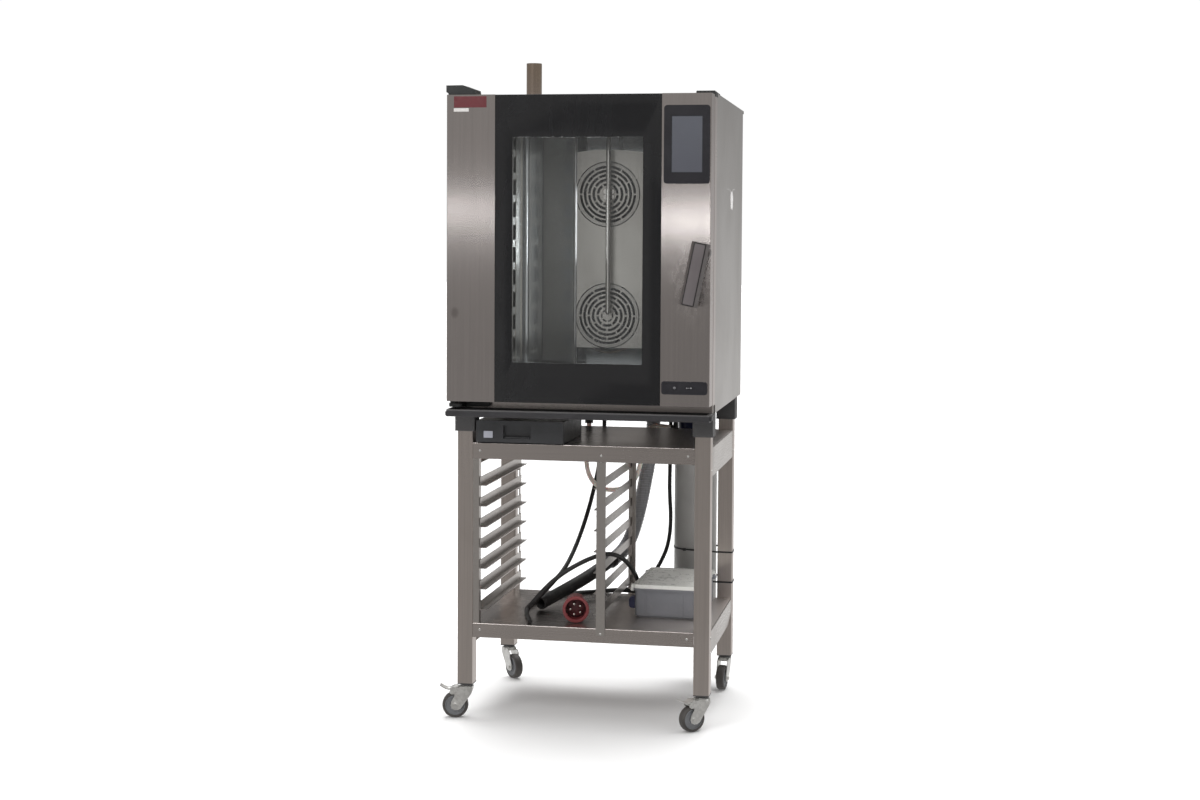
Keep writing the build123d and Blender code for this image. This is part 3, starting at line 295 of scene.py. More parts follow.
def deck_wear_and_painted_light(g, c, r):
    """The decks are polished on the left and dull on the right, where boxes are pushed in; on the tops, painted shade
    darkens the left and a painted lighter tone brightens the right.
    """
    o = g.xyz()
    top = g.fit(g.xyz(g.t.nodes.new("ShaderNodeNewGeometry").outputs["Normal"])[2], 0.8, 0.95, 0, 1)
    worn = g.math("MULTIPLY", top, g.fit(g.math("ADD", o[0], g.math("MULTIPLY", g.noise(4.0, 3), 0.2)), 0.02, 0.34, 0, 1))
    left = g.math("MULTIPLY", top, g.fit(o[0], -0.05, 0.12, 1, 0))
    # painted shade: the left of the deck tops is darkened
    c = g.mix(g.math("MULTIPLY", left, 0.35), c, (0.34, 0.31, 0.29))
    # painted light: the right of the deck tops is lightened, beside the real rise in roughness there
    c = g.mix(g.math("MULTIPLY", worn, 0.5), c, (0.78, 0.74, 0.71))
    return c, g.math("ADD", r, g.math("MULTIPLY", worn, 0.16))


M["shelf"] = steel("shelf_steel", (0.61, 0.56, 0.535), 0.24, "x", 0.0, 0.03, 0.07, 0.05, 0.03, extra=deck_wear_and_painted_light)
M["rail"] = steel("rail_steel", (0.60, 0.57, 0.545), 0.28, "y", 0.0, 0.04, 0.08, 0.06, 0.04)
M["rack"] = steel("rack_steel", (0.60, 0.57, 0.545), 0.3, "y", 0.0, 0.04, 0.06, 0.06, 0.04)
M["pan"] = steel("pan_steel", (0.5, 0.48, 0.46), 0.42, "x", 0.0, 0.05, 0.1, 0.06, 0.05)
M["rear"] = steel("rear_steel", (0.55, 0.55, 0.54), 0.4, "z", 0.0, 0.04, 0.1, 0.06, 0.04)
M["liner"] = steel("liner_steel", (0.56, 0.58, 0.59), 0.13, "z", 0.0, 0.03, 0.1, 0.06, 0.02)
M["cavrack"] = steel("cavity_rack_steel", (0.66, 0.65, 0.62), 0.2, "y", 0.0, 0.03, 0.05, 0.05, 0.03)


def guard_zones_and_groove_shade(g, c, r):
    """Matt middle plate between two polished wings, and painted shade: a darker ring round each grille where a groove's
    shade would fall.
    """
    o = g.xyz()
    side = g.math("ABSOLUTE", g.math("SUBTRACT", o[0], D(10, 0, 0)[0]))
    wing = g.fit(side, 0.1018, 0.1026, 0, 1, False)
    rim = None
    for z in (1154.0, 1520.0):
        d = g.dist(D(2, 445, z))
        k = g.math("MULTIPLY", g.fit(d, 0.0872, 0.0880, 0, 1), g.fit(d, 0.0985, 0.0995, 1, 0))
        rim = k if rim is None else g.math("ADD", rim, k, True)
    # painted shade: the ring round each grille is darkened in place of a groove's shading
    c = g.mix(g.math("MULTIPLY", rim, 0.3), c, (0.30, 0.29, 0.28))
    c = g.mix(wing, c, (0.56, 0.57, 0.58))
    r = g.math("ADD", g.math("MULTIPLY", r, g.math("SUBTRACT", 1.0, wing)), g.math("MULTIPLY", wing, 0.13))
    return c, r


M["guard"] = steel("guard_steel", (0.60, 0.575, 0.54), 0.42, "z", 0.0, 0.03, 0.1, 0.06, 0.03, extra=guard_zones_and_groove_shade)
M["fold"] = steel("guard_fold_steel", (0.66, 0.66, 0.66), 0.16, "z", 0.0, 0.03, 0.05, 0.03, 0.01)
# painted shade: the fans get a dark colour so the guard's slots in front of them read as shade
M["fan"] = steel("fan_steel_painted_shade", (0.3, 0.295, 0.29), 0.4, "n", 0.0, 0.04, 0.1, 0.06, 0.03)
M["polished"] = steel("polished_tube", (0.62, 0.6, 0.575), 0.16, "z", 0.0, 0.03, 0.05, 0.04, 0.02)


def heat(g, c, r):
    z = g.xyz()[2]
    band = g.fit(z, 1.79, 1.91, 0, 1)
    return g.mix(g.math("MULTIPLY", g.fit(g.noise(16.0, 3), 0.3, 0.7, 0.25, 0.6), band), c, (0.42, 0.33, 0.24)), r


M["chimney"] = steel("chimney_steel", (0.45, 0.37, 0.315), 0.24, "z", 0.3, 0.05, 0.08, 0.05, 0.03, extra=heat)
M["heater"] = steel("heater_tube", (0.24, 0.2, 0.17), 0.45, "n", 0.0, 0.06, 0.25, 0.1, 0.05)
M["motor"] = steel("cast_aluminium", (0.52, 0.52, 0.53), 0.55, "n", 0.0, 0.05, 0.1, 0.08, 0.3, fine=500.0)
M["zinc"] = zinc("zinc_plate")
M["capgrey"] = plastic("cap_plastic", (0.058, 0.057, 0.058), 0.48, dust=0.12)
M["gutter"] = plastic("gutter_plastic", (0.030, 0.029, 0.032), 0.42, dust=0.15)
M["drawer"] = plastic("drawer_plastic", (0.036, 0.037, 0.040), 0.40, grain=0.18, dust=0.15)
M["black"] = plastic("black_plastic", (0.024, 0.026, 0.026), 0.42, dust=0.12)
M["nylon"] = plastic("tie_nylon", (0.02, 0.02, 0.021), 0.38, grain=0.05)
M["gasket"] = rubber("silicone", (0.018, 0.018, 0.019), 0.5)
M["navy"] = rubber("navy_rubber", (0.012, 0.02, 0.075), 0.42, (0.05, 0.06, 0.12), 0.3)
M["pipe"] = plastic("pipe_plastic", (0.34, 0.335, 0.325), 0.36, grain=0.04, cloud=0.06, dust=0.1)


def crate_plastic():
    """Blue-grey moulded box; the grip on its left side is navy. Pale scuffs are scattered over it."""
    g = G("crate_plastic", (0.215, 0.218, 0.238), 0.34)
    a = math.radians(1.2)
    o = g.xyz()
    lx = g.math("SUBTRACT", g.math("MULTIPLY", g.math("SUBTRACT", o[0], D(120, 0, 0)[0]), math.cos(a)),
                g.math("MULTIPLY", g.math("SUBTRACT", o[1], D(0, 248, 0)[1]), math.sin(a)))
    grip = g.math("MULTIPLY", g.fit(lx, 0.0046, 0.0049, 1, 0, False), g.fit(o[2], 0.3415, 0.3425, 1, 0, False))
    slow, marks = g.noise(9.0, 4, 0.6, None, 0.4), g.noise(70.0, 5, 0.7)
    c = g.mix(g.fit(slow, 0.3, 0.7, 0, 1), (0.198, 0.202, 0.222), (0.232, 0.236, 0.258))
    c = g.mix(g.fit(marks, 0.56, 0.72, 0, 0.3), c, (0.27, 0.27, 0.28))
    g.set("Base Color", g.mix(grip, c, g.mix(g.fit(marks, 0.4, 0.7, 0, 1), (0.016, 0.018, 0.058), (0.03, 0.033, 0.085))))
    g.set("Roughness", g.fit(marks, 0.3, 0.7, 0.28, 0.44))
    g.set("Normal", g.bump(g.noise(1400.0, 2, 0.5), 0.06, 0.0003))
    return g.m


M["crate"] = crate_plastic()
M["lid"] = plastic("lid_plastic", (0.86, 0.86, 0.82), 0.3, grain=0.06, cloud=0.05)
M["tyre"] = rubber("tyre_rubber", (0.072, 0.066, 0.062), 0.6, (0.16, 0.15, 0.14), 0.45)
M["hub"] = plastic("hub_plastic", (0.17, 0.175, 0.185), 0.42, grain=0.06, dust=0.05)
M["red"] = plastic("plug_red", (0.23, 0.042, 0.045), 0.4, grain=0.05, cloud=0.12)
M["dark_red"] = plastic("plug_inside", (0.115, 0.02, 0.024), 0.42, grain=0.05, cloud=0.08)
M["nickel"] = steel("nickel_pin", (0.72, 0.69, 0.64), 0.2, "n", 0.0, 0.03, 0.05, 0.05, 0.02)
M["gloss"] = plastic("gloss_black", (0.021, 0.0205, 0.024), 0.16, grain=0.01, cloud=0.1)
M["lead"] = rubber("lead_rubber", (0.017, 0.016, 0.016), 0.48, (0.1, 0.095, 0.09), 0.25)
M["black_hose"] = rubber("hose_rubber", (0.018, 0.017, 0.017), 0.5, (0.15, 0.15, 0.15), 0.5, 500.0)
M["white_hose"] = plastic("hose_white", (0.70, 0.67, 0.61), 0.32, grain=0.02, cloud=0.05, Subsurface_Weight=0.15)
M["insert"] = plastic("handle_insert_plastic", (0.112, 0.099, 0.102), 0.36, grain=0.1, cloud=0.06)
M["handle"] = plastic("handle_plastic", (0.078, 0.068, 0.066), 0.4, grain=0.12, cloud=0.08)
M["line"] = plastic("handle_line", (0.016, 0.014, 0.014), 0.45, grain=0.1)


def wool():
    g = G("mineral_wool", (0.62, 0.56, 0.42), 0.95)
    fib = g.noise(900.0, 4, 0.7, g.stretch((1, 0.15, 0.15)))
    lump = g.noise(24.0, 4, 0.6)
    g.set("Base Color", g.mix(g.fit(fib, 0.3, 0.7, 0, 1), (0.45, 0.4, 0.28), (0.75, 0.7, 0.55)))
    g.set("Normal", g.bump(g.math("ADD", fib, lump), 0.5, 0.002))
    return g.m


def board():
    g = G("circuit_board", (0.02, 0.11, 0.05), 0.4)
    x = g.xyz()[0]
    part = g.fit(x, 0.3440, 0.3445, 0, 1, False)
    cells = g.cells(90.0, g.stretch((0.2, 1, 1)), "Color")
    tracks = g.fit(g.noise(220.0, 1, 0.3, g.stretch((0.2, 1, 0.2))), 0.52, 0.54, 0, 1)
    base = g.mix(tracks, (0.02, 0.11, 0.05), (0.05, 0.2, 0.09))
    g.set("Base Color", g.mix(part, base, g.mix(g.fit(g.xyz(cells)[1], 0.4, 0.6, 0, 1), (0.02, 0.02, 0.02), (0.35, 0.33, 0.3))))
    g.set("Roughness", g.fit(g.noise(300.0), 0.3, 0.7, 0.3, 0.5))
    return g.m


def screen():
    """Switched-off display under its cover lens: a blue-grey field with a fine pixel grid and a darker rim."""
    g = G("screen_lens", (0.075, 0.08, 0.095), 0.16, 0.0, Coat_Weight=0.3, Coat_Roughness=0.05)
    o = g.xyz()
    cx_, cz_ = D(307.5, 0, 1650)[0], 1.650
    ax_ = g.math("ABSOLUTE", g.math("SUBTRACT", o[0], cx_))
    az_ = g.math("ABSOLUTE", g.math("SUBTRACT", o[2], cz_))
    rim = g.math("MAXIMUM", g.fit(ax_, 0.0405, 0.0430, 0, 1), g.fit(az_, 0.0750, 0.0775, 0, 1))
    grid = g.noise(2600.0, 1, 0.4)
    tint = g.fit(o[2], 1.575, 1.725, 0, 1)
    c = g.mix(tint, (0.078, 0.081, 0.097), (0.088, 0.093, 0.110))
    c = g.mix(g.fit(grid, 0.35, 0.65, 0, 0.25), c, (0.10, 0.105, 0.125))
    c = g.mix(rim, c, (0.03, 0.031, 0.036))
    g.set("Base Color", c)
    g.set("Roughness", g.fit(g.noise(24.0, 4, 0.6, None, 0.5), 0.35, 0.7, 0.12, 0.26))
    return g.m


def black_glass():
    """Glass with a black print behind it: near black, polished, with faint wiping marks."""
    g = G("printed_glass", (0.013, 0.0132, 0.0142), 0.05, 0.0, IOR=1.5)
    wipe = g.noise(5.5, 5, 0.62, g.stretch((1, 1, 0.5)), 0.9)
    g.set("Roughness", g.fit(wipe, 0.4, 0.72, 0.035, 0.11))
    g.set("Base Color", g.mix(g.fit(wipe, 0.42, 0.75, 0, 1), (0.0125, 0.0126, 0.0135), (0.0165, 0.0168, 0.018)))
    g.set("Normal", g.bump(g.noise(2.2, 2), 0.05, 0.0015))
    return g.m


def clear_glass(name, tint, haze):
    """Thin pane: passes light straight through with a slight tint, and mirrors by its angle. Smears catch the light."""
    m = bpy.data.materials.new(name)
    m.use_nodes = True
    t = m.node_tree
    t.nodes.clear()
    out = t.nodes.new("ShaderNodeOutputMaterial")
    tr = t.nodes.new("ShaderNodeBsdfTransparent")
    gl = t.nodes.new("ShaderNodeBsdfGlossy")
    df = t.nodes.new("ShaderNodeBsdfDiffuse")
    fr = t.nodes.new("ShaderNodeFresnel")
    fr.inputs["IOR"].default_value = 1.5
    gl.inputs["Roughness"].default_value = 0.02
    gl.inputs["Color"].default_value = (1, 1, 1, 1)
    df.inputs["Color"].default_value = (0.75, 0.76, 0.76, 1)
    tr.inputs["Color"].default_value = (*tint, 1)
    co = t.nodes.new("ShaderNodeTexCoord")
    mp = t.nodes.new("ShaderNodeMapping")
    mp.inputs["Scale"].default_value = (1, 1, 0.35)
    no = t.nodes.new("ShaderNodeTexNoise")
    no.inputs["Scale"].default_value = 9.0
    no.inputs["Detail"].default_value = 5.0
    no.inputs["Distortion"].default_value = 0.8
    mr = t.nodes.new("ShaderNodeMapRange")
    mr.interpolation_type = "SMOOTHSTEP"
    for i, v in enumerate((0.35, 0.75, haze * 0.25, haze)):
        mr.inputs[1 + i].default_value = v
    m1 = t.nodes.new("ShaderNodeMixShader")
    m2 = t.nodes.new("ShaderNodeMixShader")
    L = t.links.new
    L(co.outputs["Object"], mp.inputs["Vector"])
    L(mp.outputs[0], no.inputs["Vector"])
    L(no.outputs["Fac"], mr.inputs[0])
    L(mr.outputs[0], m1.inputs[0])
    L(tr.outputs[0], m1.inputs[1])
    L(df.outputs[0], m1.inputs[2])
    L(fr.outputs[0], m2.inputs[0])
    L(m1.outputs[0], m2.inputs[1])
    L(gl.outputs[0], m2.inputs[2])
    L(m2.outputs[0], out.inputs["Surface"])
    return m


M["wool"], M["board"], M["screen"], M["print"] = wool(), board(), screen(), black_glass()
M["pane"] = clear_glass("window_pane", (0.90, 0.91, 0.915), 0.012)
M["pane_in"] = clear_glass("inner_pane", (0.93, 0.94, 0.945), 0.012)


def grey_hose():
    """Glossy blue-grey spiral hose: darker helix lines under a smooth skin."""
    g = G("hose_grey", (0.085, 0.09, 0.105), 0.26, 0.0, Coat_Weight=0.4, Coat_Roughness=0.15)
    z = g.xyz()[2]
    n = g.noise(34.0, 5, 0.7, g.stretch((1, 1, 0.25)), 0.7)
    rib = g.math("SINE", g.math("MULTIPLY", z, 2 * math.pi / 0.0055))
    c = g.mix(g.fit(rib, -0.4, 0.9, 0, 0.55), (0.23, 0.23, 0.24), (0.14, 0.14, 0.15))
    g.set("Base Color", g.mix(g.fit(n, 0.5, 0.75, 0, 0.5), c, (0.2, 0.2, 0.215)))
    g.set("Roughness", g.fit(n, 0.3, 0.7, 0.18, 0.36))
    g.set("Normal", g.bump(n, 0.12, 0.002))
    return g.m


M["grey_hose"] = grey_hose()


def sticker(name, col, worn):
    g = G(name, col, 0.42)
    n = g.noise(90.0, 4, 0.65, None, 0.5)
    g.set("Base Color", g.mix(g.fit(n, 0.5, 0.8, 0, 0.5), col, worn))
    g.set("Roughness", g.fit(n, 0.3, 0.7, 0.34, 0.52))
    g.set("Normal", g.bump(g.noise(40.0, 2), 0.08, 0.0006))
    return g.m


M["label_red"] = sticker("label_red", (0.125, 0.022, 0.027), (0.155, 0.045, 0.048))
M["label_white"] = sticker("label_white", (0.62, 0.60, 0.585), (0.5, 0.47, 0.45))
M["residue"] = sticker("paper_residue", (0.86, 0.85, 0.84), (0.7, 0.69, 0.68))
M["residue_thin"] = sticker("paper_residue_thin", (0.5, 0.49, 0.48), (0.38, 0.37, 0.36))
M["ink"] = sticker("pale_print", (0.35, 0.35, 0.36), (0.3, 0.3, 0.31))
M["telltale"] = sticker("telltale_plate", (0.36, 0.37, 0.42), (0.28, 0.29, 0.33))

use = {
    "stand_legs": "leg", "leg_caps_and_plugs": "capgrey", "stand_upper_shelf": "shelf", "stand_lower_shelf": "shelf",
    "stand_side_rails": "rail", "stand_tray_racks": "rack", "base_pan": "pan", "side_panel_right": "side",
    "side_panel_left": "side", "top_cover": "top", "rear_panel": "rear", "front_frame": "frame", "cavity_liner": "liner",
    "cavity_insulation": "wool", "cavity_tray_racks": "cavrack", "fan_guard": "guard", "fan_lower": "fan",
    "fan_upper": "fan", "fan_motors": "motor", "ring_heaters": "heater", "water_injector": "polished",
    "chimney": "chimney", "top_corner_covers": "black", "door_brackets": "black", "door_gasket": "gasket",
    "control_electronics": "board", "door_gutter": "gutter", "drawer_housing": "drawer", "detergent_drawer": "drawer",
    "base_ports": "black", "drain_fittings": "navy", "drain_pipe": "pipe", "cable_ties": "nylon", "door_frame": "pan",
    "door_fascias": "fascia", "door_inner_glass": "pane_in", "control_bezels": "gloss", "display_screen": "screen",
    "power_button": "gloss", "door_handle": "handle", "crate": "crate", "crate_lid": "lid",
    "stand_screws": "zinc", "mains_plug": "red", "door_outer_glass": "print", "mains_lead": "lead",
    "accessory_cable": "lead", "water_hose": "white_hose", "drain_hose_grey": "grey_hose", "drain_hose_black": "black_hose",
}
for n, o in N.items():
    key = use.get(n) or ("tyre" if "wheel" in n else "zinc")
    o.data.materials.clear()
    o.data.materials.append(M[key])


# ------------------------------------------------------------------ mesh helpers
def obj(name, verts, faces, mats, body, slot=None, smooth=True, mat_index=None, sharp=35):
    me = bpy.data.meshes.new(name)
    me.from_pydata([tuple(v) for v in verts], [], faces)
    o = bpy.data.objects.new(name, me)
    bpy.context.scene.collection.objects.link(o)
    for m in mats if isinstance(mats, (list, tuple)) else [mats]:
        me.materials.append(M[m])
    bm = bmesh.new()
    bm.from_mesh(me)
    if mat_index:
        for f, i in zip(bm.faces, mat_index):
            f.material_index = i
    bmesh.ops.remove_doubles(bm, verts=bm.verts, dist=1e-7)
    bmesh.ops.recalc_face_normals(bm, faces=bm.faces)
    for f in bm.faces:
        f.smooth = smooth
    lim = math.radians(sharp)
    for e in bm.edges:
        if len(e.link_faces) == 2 and e.calc_face_angle(0) > lim:
            e.smooth = False
    bm.to_mesh(me)
    bm.free()
    if body:
        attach(o, body)
    return o


def basis(origin, zdir, xhint):
    z = Vector(zdir).normalized()
    x = (Vector(xhint) - Vector(xhint).dot(z) * z).normalized()
    y = z.cross(x)
    return Matrix([[x[i], y[i], z[i], origin[i]] for i in range(3)] + [[0, 0, 0, 1]])


def lathe(prof, mat4, segs=64, close=False):
    """Verts (metres) and faces of a profile [(r, h, material)] in mm turned round mat4's Z."""
    verts, faces, mi = [], [], []
    rows = []
    for p in prof:
        r, h = p[0], p[1]
        if r < 1e-6:
            rows.append([len(verts)])
            verts.append(mat4 @ (Vector((0, 0, h)) / 1000))
        else:
            rows.append(list(range(len(verts), len(verts) + segs)))
            for k in range(segs):
                a = 2 * math.pi * k / segs
                verts.append(mat4 @ (Vector((r * math.cos(a), r * math.sin(a), h)) / 1000))
    pairs = list(zip(range(len(rows) - 1), range(1, len(rows))))
    if close:
        pairs.append((len(rows) - 1, 0))
    for i, j in pairs:
        a, b = rows[i], rows[j]
        m = prof[i][2] if len(prof[i]) > 2 else 0
        for k in range(segs):
            k2 = (k + 1) % segs
            if len(a) == 1 and len(b) == 1:
                continue
            if len(a) == 1:
                faces.append((a[0], b[k], b[k2]))
            elif len(b) == 1:
                faces.append((a[k], a[k2], b[0]))
            else:
                faces.append((a[k], a[k2], b[k2], b[k]))
            mi.append(m)
    return verts, faces, mi


def merge(parts):
    verts, faces, mi = [], [], []
    for v, f, m in parts:
        k = len(verts)
        verts += v
        faces += [tuple(i + k for i in q) for q in f]
        mi += m
    return verts, faces, mi


def rrect(x0, x1, z0, z1, r, n=6):
    pts = []
    for cx, cz, a0 in ((x1 - r, z1 - r, 0), (x0 + r, z1 - r, 90), (x0 + r, z0 + r, 180), (x1 - r, z0 + r, 270)):
        for k in range(n + 1):
            a = math.radians(a0 + 90 * k / n)
            pts.append((cx + r * math.cos(a), cz + r * math.sin(a)))
    return pts


def plate(name, loops, y0, y1, mats, body, bevel=0.4, slot=None, place=None, segs=2):
    """Flat piece with rounded edges: loops in the x-z plane (mm), thickness from y0 to y1. place maps working mm to mm."""
    cu = bpy.data.curves.new(name + "_outline", "CURVE")
    cu.dimensions, cu.fill_mode = "2D", "BOTH"
    for loop in loops:
        sp = cu.splines.new("POLY")
        sp.points.add(len(loop) - 1)
        for p, q in zip(sp.points, loop):
            p.co = (q[0], q[1], 0, 1)
        sp.use_cyclic_u = True
    cu.extrude = (y1 - y0) / 2 - bevel
    cu.bevel_depth, cu.bevel_resolution, cu.offset = bevel, segs, -bevel
    tmp = bpy.data.objects.new(name + "_outline", cu)
    bpy.context.scene.collection.objects.link(tmp)
    bpy.context.view_layer.update()
    me = bpy.data.meshes.new_from_object(tmp.evaluated_get(bpy.context.evaluated_depsgraph_get()))
    verts = []
    for v in me.vertices:
        p = Vector((v.co.x, (y0 + y1) / 2 + v.co.z, v.co.y))
        if place:
            p = place @ p
        verts.append(D(*p))
    faces = [tuple(p.vertices) for p in me.polygons]
    bpy.data.objects.remove(tmp)
    bpy.data.curves.remove(cu)
    bpy.data.meshes.remove(me)
    return obj(name, verts, faces, mats, body, slot, sharp=50)


def spline(name, pts, res=12):
    cu = bpy.data.curves.new(name, "CURVE")
    cu.dimensions = "3D"
    sp = cu.splines.new("NURBS")
    sp.points.add(len(pts) - 1)
    for p, q in zip(sp.points, pts):
        p.co = (*D(*q), 1)
    sp.order_u = 3
    sp.use_endpoint_u = True
    sp.resolution_u = res
    cu.resolution_u = res
    o = bpy.data.objects.new(name, cu)
    bpy.context.scene.collection.objects.link(o)
    return o


def line_of(pts, res=10):
    """Points of the route's own NURBS spline, with no bevel."""
    o = spline("route", pts, res)
    bpy.context.view_layer.update()
    me = bpy.data.meshes.new_from_object(o.evaluated_get(bpy.context.evaluated_depsgraph_get()))
    out = [v.co.copy() for v in me.vertices]
    cu = o.data
    bpy.data.objects.remove(o)
    bpy.data.curves.remove(cu)
    bpy.data.meshes.remove(me)
    return out


def tube(path, rfun, segs=28, bore=None):
    """Tube mesh round path (metres). rfun(s) is the outer radius in mm at s mm along it. bore is (radius, depth) in mm of an open far end."""
    t = [(path[min(i + 1, len(path) - 1)] - path[max(i - 1, 0)]).normalized() for i in range(len(path))]
    n = t[0].orthogonal().normalized()
    s, verts, faces, mi, rings = 0.0, [], [], [], []

    def ring(p, a, b, r):
        k = len(verts)
        for j in range(segs):
            q = 2 * math.pi * j / segs
            verts.append(p + (a * math.cos(q) + b * math.sin(q)) * r / 1000)
        rings.append((k, 0))
        return k

    for i, p in enumerate(path):
        if i:
            s += (path[i] - path[i - 1]).length * 1000
        n = (n - n.dot(t[i]) * t[i]).normalized()
        ring(p, n, t[i].cross(n), rfun(s))
    if bore:
        r, depth = bore
        e, d, a, b = path[-1], t[-1], n, t[-1].cross(n)
        ring(e + d * 0.0006, a, b, rfun(s) - 0.8)
        ring(e + d * 0.0006, a, b, r + 0.6)
        ring(e - d * 0.0004, a, b, r)
        ring(e - d * depth / 1000, a, b, r)
    for i in range(len(rings) - 1):
        a, b = rings[i][0], rings[i + 1][0]
        for j in range(segs):
            k = (j + 1) % segs
            faces.append((a + j, a + k, b + k, b + j))
            mi.append(0)
    faces.append(tuple(range(segs))[::-1])
    mi.append(0)
    last = rings[-1][0]
    faces.append(tuple(range(last, last + segs)))
    mi.append(0)
    return verts, faces, mi


ROOT, DOOR = "oven_and_stand", "door"

# ------------------------------------------------------------------ cords
MAINS = [(-44, 655, 878), (-44, 655, 836), (-46, 656, 778), (-55, 653, 710), (-70, 649, 624), (-86, 620, 540), (-99, 564, 472),
         (-110, 492, 419), (-120, 416, 383), (-138, 338, 357), (-162, 272, 328), (-178, 229, 311), (-179, 190, 311),
         (-162, 160, 327), (-137, 148, 356), (-108, 150, 388), (-70, 158, 420), (-26, 168, 447), (16, 184, 466),
         (52, 204, 475), (82, 240, 462), (100, 288, 432), (109, 344, 394), (111, 398, 356), (107, 446, 326),
         (95, 498, 307), (66, 540, 301), (20, 556, 299), (-26, 546, 296), (-60, 516, 296), (-82, 468, 301),
         (-88, 412, 309), (-80, 354, 318), (-61, 303.1, 321), (-52.4, 262, 321)]
ACCESSORY = [(166, 655, 878), (166, 655, 822), (166.5, 651, 752), (166.5, 645, 688), (165.5, 640, 600), (172, 640, 512),
             (164, 640, 431), (141, 634, 376), (114, 618, 330), (82, 606, 302), (40, 600, 293), (-6, 588, 288.5),
             (-52, 574, 287.2), (-98, 552, 287.2), (-140, 516, 287.2), (-174, 466, 287.2), (-196, 406, 287.2), (-208, 342, 287.2),
             (-206, 278, 287.2), (-192, 218, 287.2), (-171, 156, 287.2), (-152, 97, 287.2)]
WATER = [(-93, 650, 806), (-93, 650, 778), (-97, 647, 740), (-100, 641, 698), (-95, 634, 657), (-76, 628, 621), (-40, 625, 600),
         (2, 622, 600), (40, 619, 614), (66, 615, 644), (79, 612, 688), (82, 612, 724), (84, 612, 757), (94, 614, 787),
         (116, 619, 805), (145, 626, 804), (172, 628, 800)]
GREY = [(112, 655, 860), (112, 655, 810), (107, 653, 746), (96, 651, 678), (84, 650, 610), (70, 648, 538), (50, 645, 464),
        (34, 629, 426), (14, 601, 399), (-5.7, 569, 386)]
BLACK = [(-5.7, 569, 386), (-25, 537.6, 373.3), (-60, 480, 351), (-101, 412, 330), (-142, 344, 311), (-165, 291, 301)]


def length_of(path):
    return sum((b - a).length for a, b in zip(path, path[1:]))


def curve_cord(name, pts, r, mat, node):
    o = spline(name, pts)
    o.data.bevel_depth = r / 1000
    o.data.bevel_resolution = 6
    o.data.use_fill_caps = True
    o.data.materials.append(M[mat])
    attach(o, ROOT)
    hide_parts(node)
    return o


mains = curve_cord("mains_cord", MAINS, 6.5, "lead", "mains_lead")
access = curve_cord("accessory_cord", ACCESSORY, 6.0, "lead", "accessory_cable")
water = curve_cord("water_hose_tube", WATER, 7.2, "white_hose", "water_hose")

grey_line, black_line = line_of(GREY, 14), line_of(BLACK, 14)


def grey_r(s):
    return 21.55 + 0.35 * math.sin(2 * math.pi * s / 11.0)


def dense(path, step):
    """The same line with points about every step metres, read from the spline's own points."""
    out, need = [path[0].copy()], step
    for a, b in zip(path, path[1:]):
        d = (b - a).length
        while need <= d:
            out.append(a + (b - a) * (need / d))
            need += step
        need -= d
    if (out[-1] - path[-1]).length > step * 0.4:
        out.append(path[-1].copy())
    else:
        out[-1] = path[-1].copy()
    return out


gv = tube(dense(grey_line, 0.0022), grey_r, 36)
grey = obj("drain_hose_upper", *gv[:2], "grey_hose", ROOT, "drain_hose_grey", sharp=60)
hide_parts("drain_hose_grey")
bv = tube(dense(black_line, 0.004), lambda s: 18.7, 36, bore=(14.2, 40))
black = obj("drain_hose_lower", *bv[:2], "black_hose", ROOT, "drain_hose_black", sharp=50)
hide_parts("drain_hose_black")

# hose clamp over the joint of the two drain hoses
j0 = black_line[0]
jd = (grey_line[-1] - grey_line[-4]).normalized()
jm = basis(j0 - jd * 0.004, jd, (0, 0, 1))
clamp = lathe([(22.3, -6), (23.2, -6), (23.2, -5.2), (22.9, -5), (22.9, 5), (23.2, 5.2), (23.2, 6), (22.3, 6), (19.4, 8), (18.9, 14), (18.9, 15), (17.8, 15), (17.8, 9), (20.5, 5)], jm, 48, True)
hose_joint = obj("hose_joint_sleeve", clamp[0], clamp[1], "black_hose", ROOT, "drain_hose_black")

# tapered reliefs where the leads leave their glands
def relief(name, p, r, top, L):
    m = basis(D(*p), (0, 0, -1), (1, 0, 0))
    prof = [(r + 0.15, 0), (top, 0), (top + 0.3, 1.0), (top + 0.3, 4)]
    n = 6
    for k in range(n):
        a = 5 + (L - 7) * k / n
        q = top - (top - r - 1.4) * (a / L)
        prof += [(q, a), (q, a + (L - 7) / n * 0.6), (q - 0.7, a + (L - 7) / n * 0.68), (q - 0.7, a + (L - 7) / n * 0.92)]
    prof += [(r + 1.3, L - 1.4), (r + 1.0, L), (r + 0.15, L)]
    v = lathe(prof, m, 40, True)
    return obj(name, v[0], v[1], "black", ROOT, "base_ports", sharp=40)


relief_m = relief("mains_relief", (-44, 655, 878), 6.5, 10.6, 34)
relief_a = relief("accessory_relief", (166, 655, 878), 6.0, 9.6, 30)

